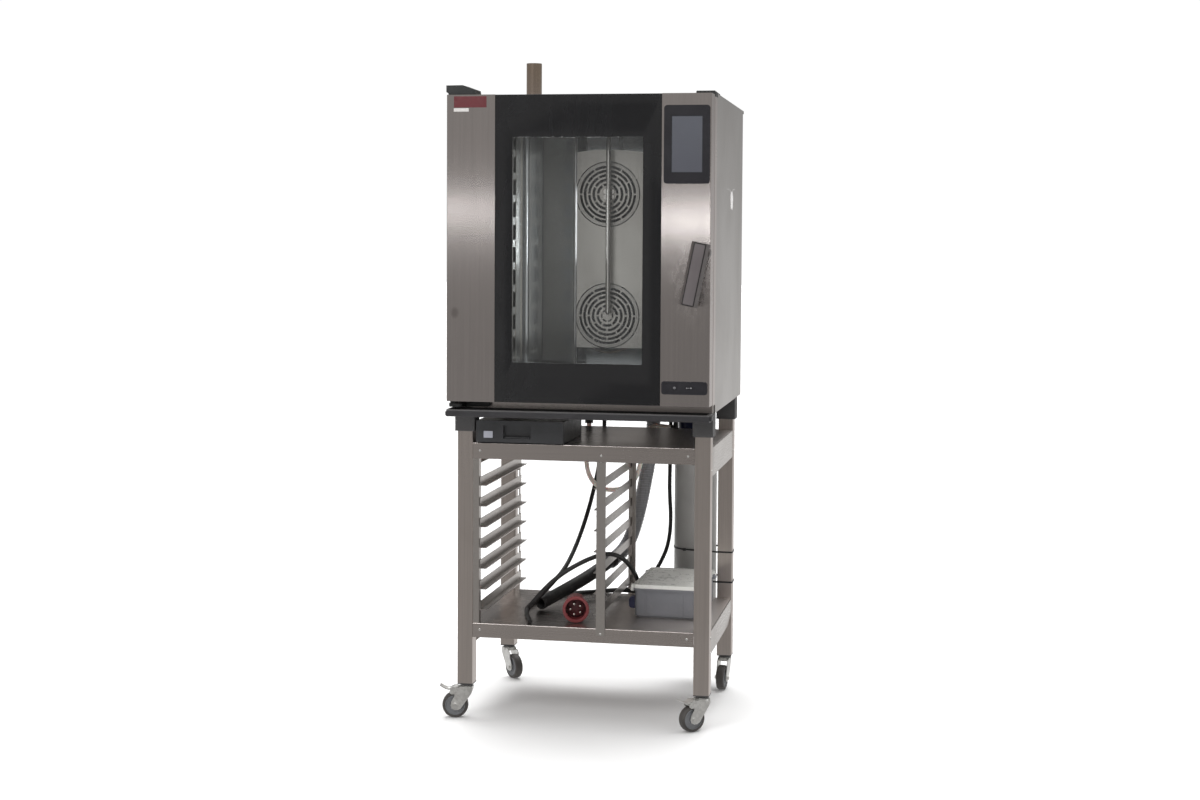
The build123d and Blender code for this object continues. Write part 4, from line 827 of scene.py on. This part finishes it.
# ------------------------------------------------------------------ mains plug
PF, PR = Vector((-25, 131, 321)), Vector((-52.4, 262, 321))
pm = basis(D(*PF), PR - PF, (0.979, 0.205, 0))
shell = lathe([(29.6, 38), (29.6, 1.0), (30.3, 0.2), (31.0, 0.0), (37.4, 0.0), (38.2, 0.7), (38.3, 1.5), (38.3, 7.4), (37.6, 8.6), (36.0, 9.2),
               (34.3, 9.8), (34.0, 11), (34.0, 16), (33.3, 16.4), (33.3, 18.6), (34.0, 19), (34.0, 49), (33.2, 51.2), (31.0, 52.6), (30.2, 53.6),
               (30.2, 93), (29.6, 95.5), (28.4, 96.8), (27.2, 98.5), (19.0, 116), (17.6, 117.4), (16.6, 117.8), (16.6, 119)], pm, 72)
ribs = []
for k in range(18):
    a = 2 * math.pi * k / 18
    loc = Matrix.Rotation(a, 4, "Z")
    pts = [Vector(p) for p in ((29.6, -1.7, 57), (29.6, 1.7, 57), (31.9, 1.1, 59), (31.9, -1.1, 59),
                               (29.6, -1.7, 90), (29.6, 1.7, 90), (31.9, 1.1, 88), (31.9, -1.1, 88))]
    vv = [pm @ ((loc @ p) / 1000) for p in pts]
    ribs.append((vv, [(0, 1, 2, 3), (4, 7, 6, 5), (0, 4, 5, 1), (3, 2, 6, 7), (1, 5, 6, 2), (0, 3, 7, 4)], [0] * 6))
key = []
for a, w, r0, r1 in ((-math.pi / 2, 4.2, 28.3, 30.0), (math.pi * 0.16, 2.2, 28.6, 30.0), (math.pi * 0.84, 2.2, 28.6, 30.0)):
    loc = Matrix.Rotation(a, 4, "Z")
    pts = [Vector(p) for p in ((r0, -w, 0.6), (r0, w, 0.6), (r1, w, 0.6), (r1, -w, 0.6), (r0, -w, 37), (r0, w, 37), (r1, w, 37), (r1, -w, 37))]
    key.append(([pm @ ((loc @ p) / 1000) for p in pts], [(0, 1, 2, 3), (4, 7, 6, 5), (0, 4, 5, 1), (3, 2, 6, 7), (1, 5, 6, 2), (0, 3, 7, 4)], [0] * 6))
# two locking lugs outside the collar
for a in (math.radians(200), math.radians(340)):
    loc = Matrix.Rotation(a, 4, "Z")
    pts = [Vector(p) for p in ((33.5, -6, 12), (33.5, 6, 12), (37.4, 5, 14), (37.4, -5, 14), (33.5, -6, 30), (33.5, 6, 30), (36.2, 5, 28), (36.2, -5, 28))]
    key.append(([pm @ ((loc @ p) / 1000) for p in pts], [(0, 1, 2, 3), (4, 7, 6, 5), (0, 4, 5, 1), (3, 2, 6, 7), (1, 5, 6, 2), (0, 3, 7, 4)], [0] * 6))
sv = merge([shell] + ribs + key)
plug_shell = obj("plug_shell", sv[0], sv[1], "red", ROOT, "mains_plug", sharp=30)
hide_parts("mains_plug")
face = [lathe([(0, 30.0), (22.6, 30.0), (23.6, 30.5), (24.0, 31.4), (24.0, 37.0), (29.9, 37.0), (29.9, 39), (0, 39)], pm, 64)]
for k in range(5):
    a = math.radians(108 + 72 * k)
    pmk = pm @ Matrix.Translation(Vector((15.5 * math.cos(a), 15.5 * math.sin(a), 0)) / 1000)
    face.append(lathe([(5.4, 30.2), (5.4, 28.6), (4.9, 28.0), (3.5, 28.0), (3.5, 30)], pmk, 24))
fv = merge(face)
plug_face = obj("plug_insert", fv[0], fv[1], "dark_red", ROOT, "mains_plug")
pins = []
for k in range(5):
    a = math.radians(108 + 72 * k)
    r = 3.6 if k == 2 else 3.1
    pmk = pm @ Matrix.Translation(Vector((15.5 * math.cos(a), 15.5 * math.sin(a), 0)) / 1000)
    pins.append(lathe([(0, 6.0), (r * 0.5, 6.15), (r * 0.82, 6.7), (r * 0.97, 7.8), (r, 9), (r, 31)], pmk, 28))
pv = merge(pins)
plug_pins = obj("plug_pins", pv[0], pv[1], "nickel", ROOT, "mains_plug")
# hexagonal gland nut behind the grip
hexv, hexf = [], []
for h, r in ((116.5, 14.5), (118.0, 18.3), (130.5, 18.3), (133.0, 16.0), (134.0, 12.0), (134.0, 6.6), (116.5, 6.6)):
    for j in range(6):
        a = math.radians(60 * j + 30)
        rr = r
        hexv.append(pm @ (Vector((rr * math.cos(a), rr * math.sin(a), h)) / 1000))
for i in range(6):
    for j in range(6):
        k = (j + 1) % 6
        hexf.append((i * 6 + j, i * 6 + k, (i + 1) * 6 + k, (i + 1) * 6 + j))
plug_nut = obj("plug_gland_nut", hexv, hexf, "red", ROOT, "mains_plug", sharp=25)

[tuple(p) for p in grey_line]
[tuple(p) for p in black_line]

# ------------------------------------------------------------------ door glass
GX0, GX1, GZ0, GZ1 = -235.0, 236.8, 928.0, 1789.5
WX0, WX1, WZ0, WZ1 = -185.5, 185.0, 1041.0, 1671.0
border = plate("door_glass_border", [rrect(GX0, GX1, GZ0, GZ1, 1.2), rrect(WX0, WX1, WZ0, WZ1, 2.5)], 0.0, 5.0, "print", DOOR, 0.5, "door_outer_glass")
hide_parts("door_outer_glass")
pane = plate("door_glass_window", [rrect(WX0 + 0.3, WX1 - 0.3, WZ0 + 0.3, WZ1 - 0.3, 2.3)], 0.15, 4.85, "pane", DOOR, 0.05, "door_outer_glass", segs=1)

# ------------------------------------------------------------------ folds of the air guard
def fold(name, p0, p1, ctrl, z0, z1, thick=0.35):
    """Rounded sheet fold over the guard's bend: a thin curved strip from p0 to p1 round ctrl, all (x, y) in mm."""
    n, rows = 12, []
    for k in range(n + 1):
        t = k / n
        x = (1 - t) ** 2 * p0[0] + 2 * t * (1 - t) * ctrl[0] + t * t * p1[0]
        y = (1 - t) ** 2 * p0[1] + 2 * t * (1 - t) * ctrl[1] + t * t * p1[1]
        rows.append((x, y))
    v = [D(x, y, z) for z in (z0, z1) for x, y in rows]
    b = [D(x, y + thick + 0.9 * math.sin(math.pi * i / n), z) for z in (z0, z1) for i, (x, y) in enumerate(rows)]
    m, f = n + 1, []
    for i in range(n):
        f.append((i, i + 1, m + i + 1, m + i))
        f.append((2 * m + i + 1, 2 * m + i, 3 * m + i, 3 * m + i + 1))
        f.append((i + 1, i, 2 * m + i, 2 * m + i + 1))
        f.append((m + i, m + i + 1, 3 * m + i + 1, 3 * m + i))
    f.append((0, m, 3 * m, 2 * m))
    f.append((m - 1, 3 * m - 1, 4 * m - 1, 2 * m - 1))
    return obj(name, v + b, f, "fold", ROOT, "fan_guard", sharp=50)


fold("guard_fold_left", (-109, 452.9), (-92.2, 444.35), (-101.5, 444.6), 1009.2, 1700.8)
fold("guard_fold_right", (129, 452.9), (112.2, 444.35), (121.5, 444.6), 1009.2, 1700.8)

# ------------------------------------------------------------------ handle
hp = Matrix.Translation((353.5, 0, 1380)) @ Matrix.Rotation(math.radians(11.5), 4, "Y")
plate("handle_edge", [rrect(-17.4, 17.4, -175.6, -0.4, 3.0)], -50.5, -49.3, "line", "handle", 0.4, "door_handle", hp)
plate("handle_insert", [rrect(-14.2, 14.2, -172.2, -3.8, 2.2)], -50.9, -49.6, "insert", "handle", 0.3, "door_handle", hp)

# ------------------------------------------------------------------ labels and marks
plate("label_red", [rrect(-354, -260, 1754, 1785.5, 1.5)], -0.35, -0.02, "label_red", DOOR, 0.08, "door_fascias")
plate("label_strip", [rrect(-354.5, -311, 1742.6, 1752.0, 0.8)], -0.3, -0.02, "label_white", DOOR, 0.06, "door_fascias")


def flake(name, outline, proud, mat):
    """Torn paper stuck flat to the right side panel: outline in (y, z), thickness proud of the panel."""
    n = len(outline)
    v = [D(375.02, y, z) for y, z in outline] + [D(375.02 + proud, y, z) for y, z in outline]
    f = [tuple(range(n))[::-1], tuple(range(n, 2 * n))] + [(i, (i + 1) % n, n + (i + 1) % n, n + i) for i in range(n)]
    return obj(name, v, f, mat, ROOT, "side_panel_right", smooth=False)


flake("paper_residue", [(452, 1530), (470, 1528.5), (482, 1522), (489, 1516), (492, 1504), (487, 1492), (489, 1485), (478, 1477),
                        (466, 1473.5), (452, 1478), (438, 1481), (431, 1485), (436, 1494), (428, 1505), (425, 1513), (431, 1519),
                        (438, 1526)], 0.3, "residue")
flake("paper_residue_arm_front", [(357, 1533), (372, 1536.5), (392, 1536), (410, 1532.5), (428, 1531), (446, 1530.2), (448, 1528.4),
                                  (428, 1528.8), (408, 1529.8), (390, 1532.6), (374, 1533), (360, 1530.5)], 0.2, "residue_thin")
flake("paper_residue_arm_rear", [(462, 1530.4), (478, 1533), (492, 1537), (506, 1536.4), (526, 1538.6), (524, 1535.4), (506, 1533.6),
                                 (493, 1533.4), (480, 1530), (466, 1528.6)], 0.2, "residue_thin")
plate("drawer_telltale", [rrect(-283.2, -256.8, 818.8, 838.2, 1.2)], 66.3, 66.9, "telltale", "drawer", 0.15, "detergent_drawer")

# power mark on the button: an open ring and a bar
rv = []
for r in (2.3, 3.0):
    for k in range(41):
        a = math.radians(90 + 28 + (360 - 56) * k / 40)
        rv.append((277.5 + r * math.cos(a), 979 + r * math.sin(a)))
ringloop = rv[:41] + rv[41:][::-1]
plate("power_mark", [ringloop, rrect(277.5 - 0.36, 277.5 + 0.36, 979.2, 982.6, 0.3, 3)], -2.42, -2.15, "ink", "button", 0.03, "power_button", segs=1)
# status mark beside it: a dot, a bar and an arrowhead
dot = [(311.6 + 1.5 * math.cos(q * math.pi / 10), 979 + 1.5 * math.sin(q * math.pi / 10)) for q in range(20)]
arrow = [(322.0, 976.6), (326.4, 979.0), (322.0, 981.4)]
plate("status_mark", [dot, rrect(314.2, 320.4, 978.6, 979.4, 0.3, 3), arrow], -1.62, -1.38, "ink", DOOR, 0.03, "control_bezels", segs=1)

# ------------------------------------------------------------------ stand screws
def screw(centre, out, r=3.5, h=1.7, turn=0.3):
    """Pan head with a cross recess. Returns verts and faces."""
    m = basis(centre, out, (0.31, 0.2, 0.93)) @ Matrix.Rotation(turn, 4, "Z")
    segs, verts, faces, mi = 32, [], [], []
    # head as a height field over a polar grid, with the cross pressed in
    radii = [0.0, 0.35, 0.7, 1.0, 1.3, 1.6, 1.9, 2.3, 2.7, 3.05, 3.3, 3.45, 3.5]
    for i, q in enumerate(radii):
        q = q * r / 3.5
        if i == 0:
            verts.append(m @ (Vector((0, 0, h - 0.85)) / 1000))
            continue
        t = q / r
        z = h * math.sqrt(max(0.0, 1 - t ** 3.2)) if i < len(radii) - 1 else 0.0
        for k in range(segs):
            a = 2 * math.pi * k / segs
            x, y = q * math.cos(a), q * math.sin(a)
            d = 0.0
            if q < 0.56 * r:
                w = min(abs(x), abs(y))
                d = 0.85 * max(0.0, min(1.0, (0.62 - w) / 0.22)) * max(0.0, min(1.0, (0.56 * r - q) / 0.3))
            verts.append(m @ (Vector((x, y, max(0.0, z - d))) / 1000))
    for k in range(segs):
        faces.append((0, 1 + k, 1 + (k + 1) % segs))
    for i in range(len(radii) - 2):
        a, b = 1 + i * segs, 1 + (i + 1) * segs
        for k in range(segs):
            k2 = (k + 1) % segs
            faces.append((a + k, b + k, b + k2, a + k2))
    last = 1 + (len(radii) - 2) * segs
    faces.append(tuple(range(last, last + segs))[::-1])
    return verts, faces, [0] * len(faces)


heads = []
SX0, SX1, SY0, SY1 = -362.0, 370.0, 74.0, 630.0
i = 0
for (x, z) in ((-296, 780), (58, 775), (306, 780), (-296, 262), (58, 266), (306, 262)):
    y = SY0 + 1 if x != 58 or z > 500 else 72.6
    heads.append(screw(D(x, y, z), (0, -1, 0), turn=0.4 + i))
    i += 1
for zc in (738, 785, 220, 262):
    for yc in (SY0 + 28, SY1 - 28):
        heads.append(screw(D(SX1, yc, zc), (1, 0, 0), turn=0.4 + i))
        heads.append(screw(D(SX0, yc, zc), (-1, 0, 0), turn=1.4 + i))
        i += 1
hv = merge(heads)
screws = obj("stand_screw_heads", hv[0], hv[1], "zinc", ROOT, "stand_screws", sharp=40)
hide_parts("stand_screws")

# ------------------------------------------------------------------ castor wheels
LEG = 45.0
mids = {"front_left": (SX0 + LEG / 2, SY0 + LEG / 2), "front_right": (SX1 - LEG / 2, SY0 + LEG / 2),
        "rear_left": (SX0 + LEG / 2, SY1 - LEG / 2), "rear_right": (SX1 - LEG / 2, SY1 - LEG / 2)}
cdir = {"front_left": 190.5, "front_right": 219.0, "rear_left": 313.5, "rear_right": 264.0}
half = [(37.5, 0, 0), (37.5, 3.0, 0), (37.35, 6.0, 0), (36.9, 8.4, 0), (36.0, 10.2, 0), (34.6, 11.4, 0), (32.8, 11.95, 0), (30.2, 12.0, 0),
        (29.3, 11.7, 0), (28.9, 11.0, 1), (28.5, 11.7, 1), (27.9, 12.0, 1), (27.0, 12.0, 1), (26.5, 11.5, 1), (26.1, 10.3, 1), (25.2, 9.9, 1),
        (17.4, 9.3, 1), (16.6, 9.6, 1), (16.1, 10.3, 1), (15.3, 10.6, 1), (14.4, 10.3, 1), (13.8, 9.7, 1), (12.4, 9.6, 1), (11.2, 10.2, 1),
        (10.2, 12.4, 1), (9.3, 13.4, 1), (8.9, 14.1, 1), (4.1, 14.1, 1)]
for k4, (mx, my) in mids.items():
    d = math.radians(cdir[k4])
    c = D(mx + 33 * math.cos(d), my + 33 * math.sin(d), 37.5)
    ax = (-math.sin(d), math.cos(d), 0)
    m = basis(c, ax, (0, 0, 1))
    prof = [(r, -h, q) for r, h, q in half[::-1]]
    prof = [(p[0], p[1], prof[min(i + 1, len(prof) - 1)][2]) for i, p in enumerate(prof)] + half[1:]
    v = lathe(prof, m, 72, True)
    w = obj("wheel_" + k4, v[0], v[1], ["tyre", "hub"], "wheel_" + k4, "castor_wheel_" + k4, mat_index=v[2], sharp=28)
    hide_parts("castor_wheel_" + k4)

# ------------------------------------------------------------------ floor, world and lights
fl = bpy.data.meshes.new("studio_floor")
S = 40.0
fl.from_pydata([(-S, -S, 0), (S, -S, 0), (S, S, 0), (-S, S, 0)], [], [(0, 1, 2, 3)])
floor = bpy.data.objects.new("studio_floor", fl)
bpy.context.scene.collection.objects.link(floor)
gf = G("floor_paint", (0.90, 0.90, 0.90), 0.7, 0.0, Emission_Strength=0.10, Emission_Color=(1, 1, 1, 1))
gf.set("Roughness", gf.fit(gf.noise(3.0, 3), 0.3, 0.7, 0.62, 0.78))
fl.materials.append(gf.m)
floor.visible_glossy = False

world = bpy.data.worlds.new("studio")
bpy.context.scene.world = world
world.use_nodes = True
wt = world.node_tree
wt.nodes.clear()
wo = wt.nodes.new("ShaderNodeOutputWorld")
tc = wt.nodes.new("ShaderNodeTexCoord")
sx = wt.nodes.new("ShaderNodeSeparateXYZ")
wt.links.new(tc.outputs["Generated"], sx.inputs[0])


def wramp(sock, stops, scale=None):
    if scale:
        mr = wt.nodes.new("ShaderNodeMapRange")
        mr.inputs[1].default_value, mr.inputs[2].default_value = scale
        wt.links.new(sock, mr.inputs[0])
        sock = mr.outputs[0]
    r = wt.nodes.new("ShaderNodeValToRGB")
    r.color_ramp.interpolation = "EASE"
    els = r.color_ramp.elements
    while len(els) > 1:
        els.remove(els[-1])
    els[0].position, els[0].color = stops[0][0], (*stops[0][1], 1)
    for p, c in stops[1:]:
        e = els.new(p)
        e.color = (*c, 1)
    wt.links.new(sock, r.inputs[0])
    return r.outputs[0]


def grey(v, warm=0.0):
    return (v * (1 + warm), v, v * (1 - warm))


def tied(op, a, b):
    n = wt.nodes.new("ShaderNodeMix")
    n.data_type, n.blend_type = "RGBA", op
    n.inputs[0].default_value = 1.0
    n.clamp_result = False
    wt.links.new(a, n.inputs[6])
    wt.links.new(b, n.inputs[7])
    return n.outputs[2]


# what the front faces mirror: a dim room, a little darker low on the right
ahead = wramp(sx.outputs[2], [(0.0, grey(0.36, 0.03)), (0.35, grey(0.33, 0.03)), (0.44, grey(0.32, 0.03)), (0.5, grey(0.30, 0.03)),
                              (0.56, grey(0.32, 0.03)), (0.7, grey(0.33, 0.02)), (1.0, grey(0.4))], (-1, 1))
low = wramp(sx.outputs[2], [(0.0, grey(1)), (0.40, grey(1)), (0.445, grey(0)), (0.49, grey(0)), (0.53, grey(1)), (1.0, grey(1))], (-1, 1))
right = wramp(sx.outputs[0], [(0.0, grey(1.0)), (0.365, grey(1.0)), (0.445, grey(0.45)), (0.62, grey(0.42)), (0.8, grey(1.0)), (1.0, grey(1.0))], (-1, 1))
ahead = tied("MULTIPLY", ahead, tied("LIGHTEN", low, right))
# what the sides and decks mirror: a bright floor below the horizon that fades to a dark wall above it
behind = wramp(sx.outputs[2], [(0.0, grey(0.66)), (0.36, grey(0.72, 0.01)), (0.45, grey(0.72, 0.01)), (0.49, grey(0.60, 0.01)), (0.535, grey(0.37, 0.015)),
                               (0.565, grey(0.19, 0.02)), (0.62, grey(0.14, 0.02)), (0.72, grey(0.17, 0.02)), (0.85, grey(0.4)), (1.0, grey(0.6))], (-1, 1))
turn = wramp(sx.outputs[1], [(0.0, grey(0)), (0.40, grey(0)), (0.60, grey(1)), (1.0, grey(1))], (-1, 1))
blend = wt.nodes.new("ShaderNodeMix")
blend.data_type = "RGBA"
wt.links.new(turn, blend.inputs[0])
wt.links.new(ahead, blend.inputs[6])
wt.links.new(behind, blend.inputs[7])
around = blend.outputs[2]
above = wramp(sx.outputs[2], [(0.0, (0, 0, 0)), (0.45, (0, 0, 0)), (0.8, (0.35, 0.35, 0.35)), (1.0, (0.7, 0.7, 0.7))], (0.0, 1.0))
add = wt.nodes.new("ShaderNodeMix")
add.data_type, add.blend_type = "RGBA", "ADD"
add.inputs[0].default_value = 1.0
add.clamp_result = False
wt.links.new(around, add.inputs[6])
wt.links.new(above, add.inputs[7])
bg = wt.nodes.new("ShaderNodeBackground")
wt.links.new(add.outputs[2], bg.inputs["Color"])
bg.inputs["Strength"].default_value = 1.0
bw = wt.nodes.new("ShaderNodeBackground")
bw.inputs["Color"].default_value = (1, 1, 1, 1)
bw.inputs["Strength"].default_value = 1.02
lp = wt.nodes.new("ShaderNodeLightPath")
mxs = wt.nodes.new("ShaderNodeMixShader")
wt.links.new(lp.outputs["Is Camera Ray"], mxs.inputs[0])
wt.links.new(bg.outputs[0], mxs.inputs[1])
wt.links.new(bw.outputs[0], mxs.inputs[2])
wt.links.new(mxs.outputs[0], wo.inputs["Surface"])


def area(name, loc, target, sx_, sy_, watts, col=(1, 1, 1)):
    li = bpy.data.lights.new(name, "AREA")
    li.shape, li.size, li.size_y, li.energy, li.color = "RECTANGLE", sx_, sy_, watts, col
    o = bpy.data.objects.new(name, li)
    bpy.context.scene.collection.objects.link(o)
    o.location = loc
    o.rotation_mode = "QUATERNION"
    o.rotation_quaternion = (Vector(target) - Vector(loc)).to_track_quat("-Z", "Y")
    return o


def sun(name, toward, angle, strength):
    li = bpy.data.lights.new(name, "SUN")
    li.energy, li.angle = strength, math.radians(angle)
    o = bpy.data.objects.new(name, li)
    bpy.context.scene.collection.objects.link(o)
    o.rotation_mode = "QUATERNION"
    o.rotation_quaternion = Vector(toward).to_track_quat("-Z", "Y")
    return o


sun("overhead", (0.03, -0.30, -0.95), 52, 2.7)
def only(light, names):
    """The light falls on these objects alone, as behind a flag."""
    col = bpy.data.collections.new(light.name + "_on")
    for n in names:
        col.objects.link(N[n] if n in N else bpy.data.objects[n])
    light.light_linking.receiver_collection = col


BANDS = ("door_fascias",)
FOLDS = ("guard_fold_left", "guard_fold_right", "water_injector")
INSIDE = ("cavity_liner", "cavity_tray_racks", "fan_guard", "guard_fold_left", "guard_fold_right", "water_injector")
for li, on in ((area("key_front", (-1.6, -4.6, 4.4), (0, 0, 1.0), 2.6, 2.0, 90), None),
               (area("band_left", (-2.45, -4.6, 1.506), (-2.45, 0, 1.506), 1.5, 0.10, 2.1), BANDS),
               (area("band_right", (0.90, -4.6, 1.449), (0.90, 0, 1.449), 1.6, 0.10, 5.2), BANDS),
               (area("cavity_front", (-0.018, -0.262, 1.356), (-0.018, 0.2, 1.356), 0.36, 0.62, 0.44, (1.0, 0.965, 0.93)), INSIDE),
               (area("fold_glint", (-0.20, -0.12, 1.43), (-0.085, 0.10, 1.43), 0.16, 0.22, 0.20), FOLDS),
               (area("corner_glint", (-0.115, -0.262, 1.41), (-0.25, 0.16, 1.41), 0.02, 0.22, 0.16), ("cavity_liner",))):
    li.visible_camera = False
    if on:
        only(li, on)

sc = bpy.context.scene
sc.view_settings.view_transform = "Standard"
sc.view_settings.look = "None"
sc.view_settings.exposure = 0.0
sc.view_settings.gamma = 1.0
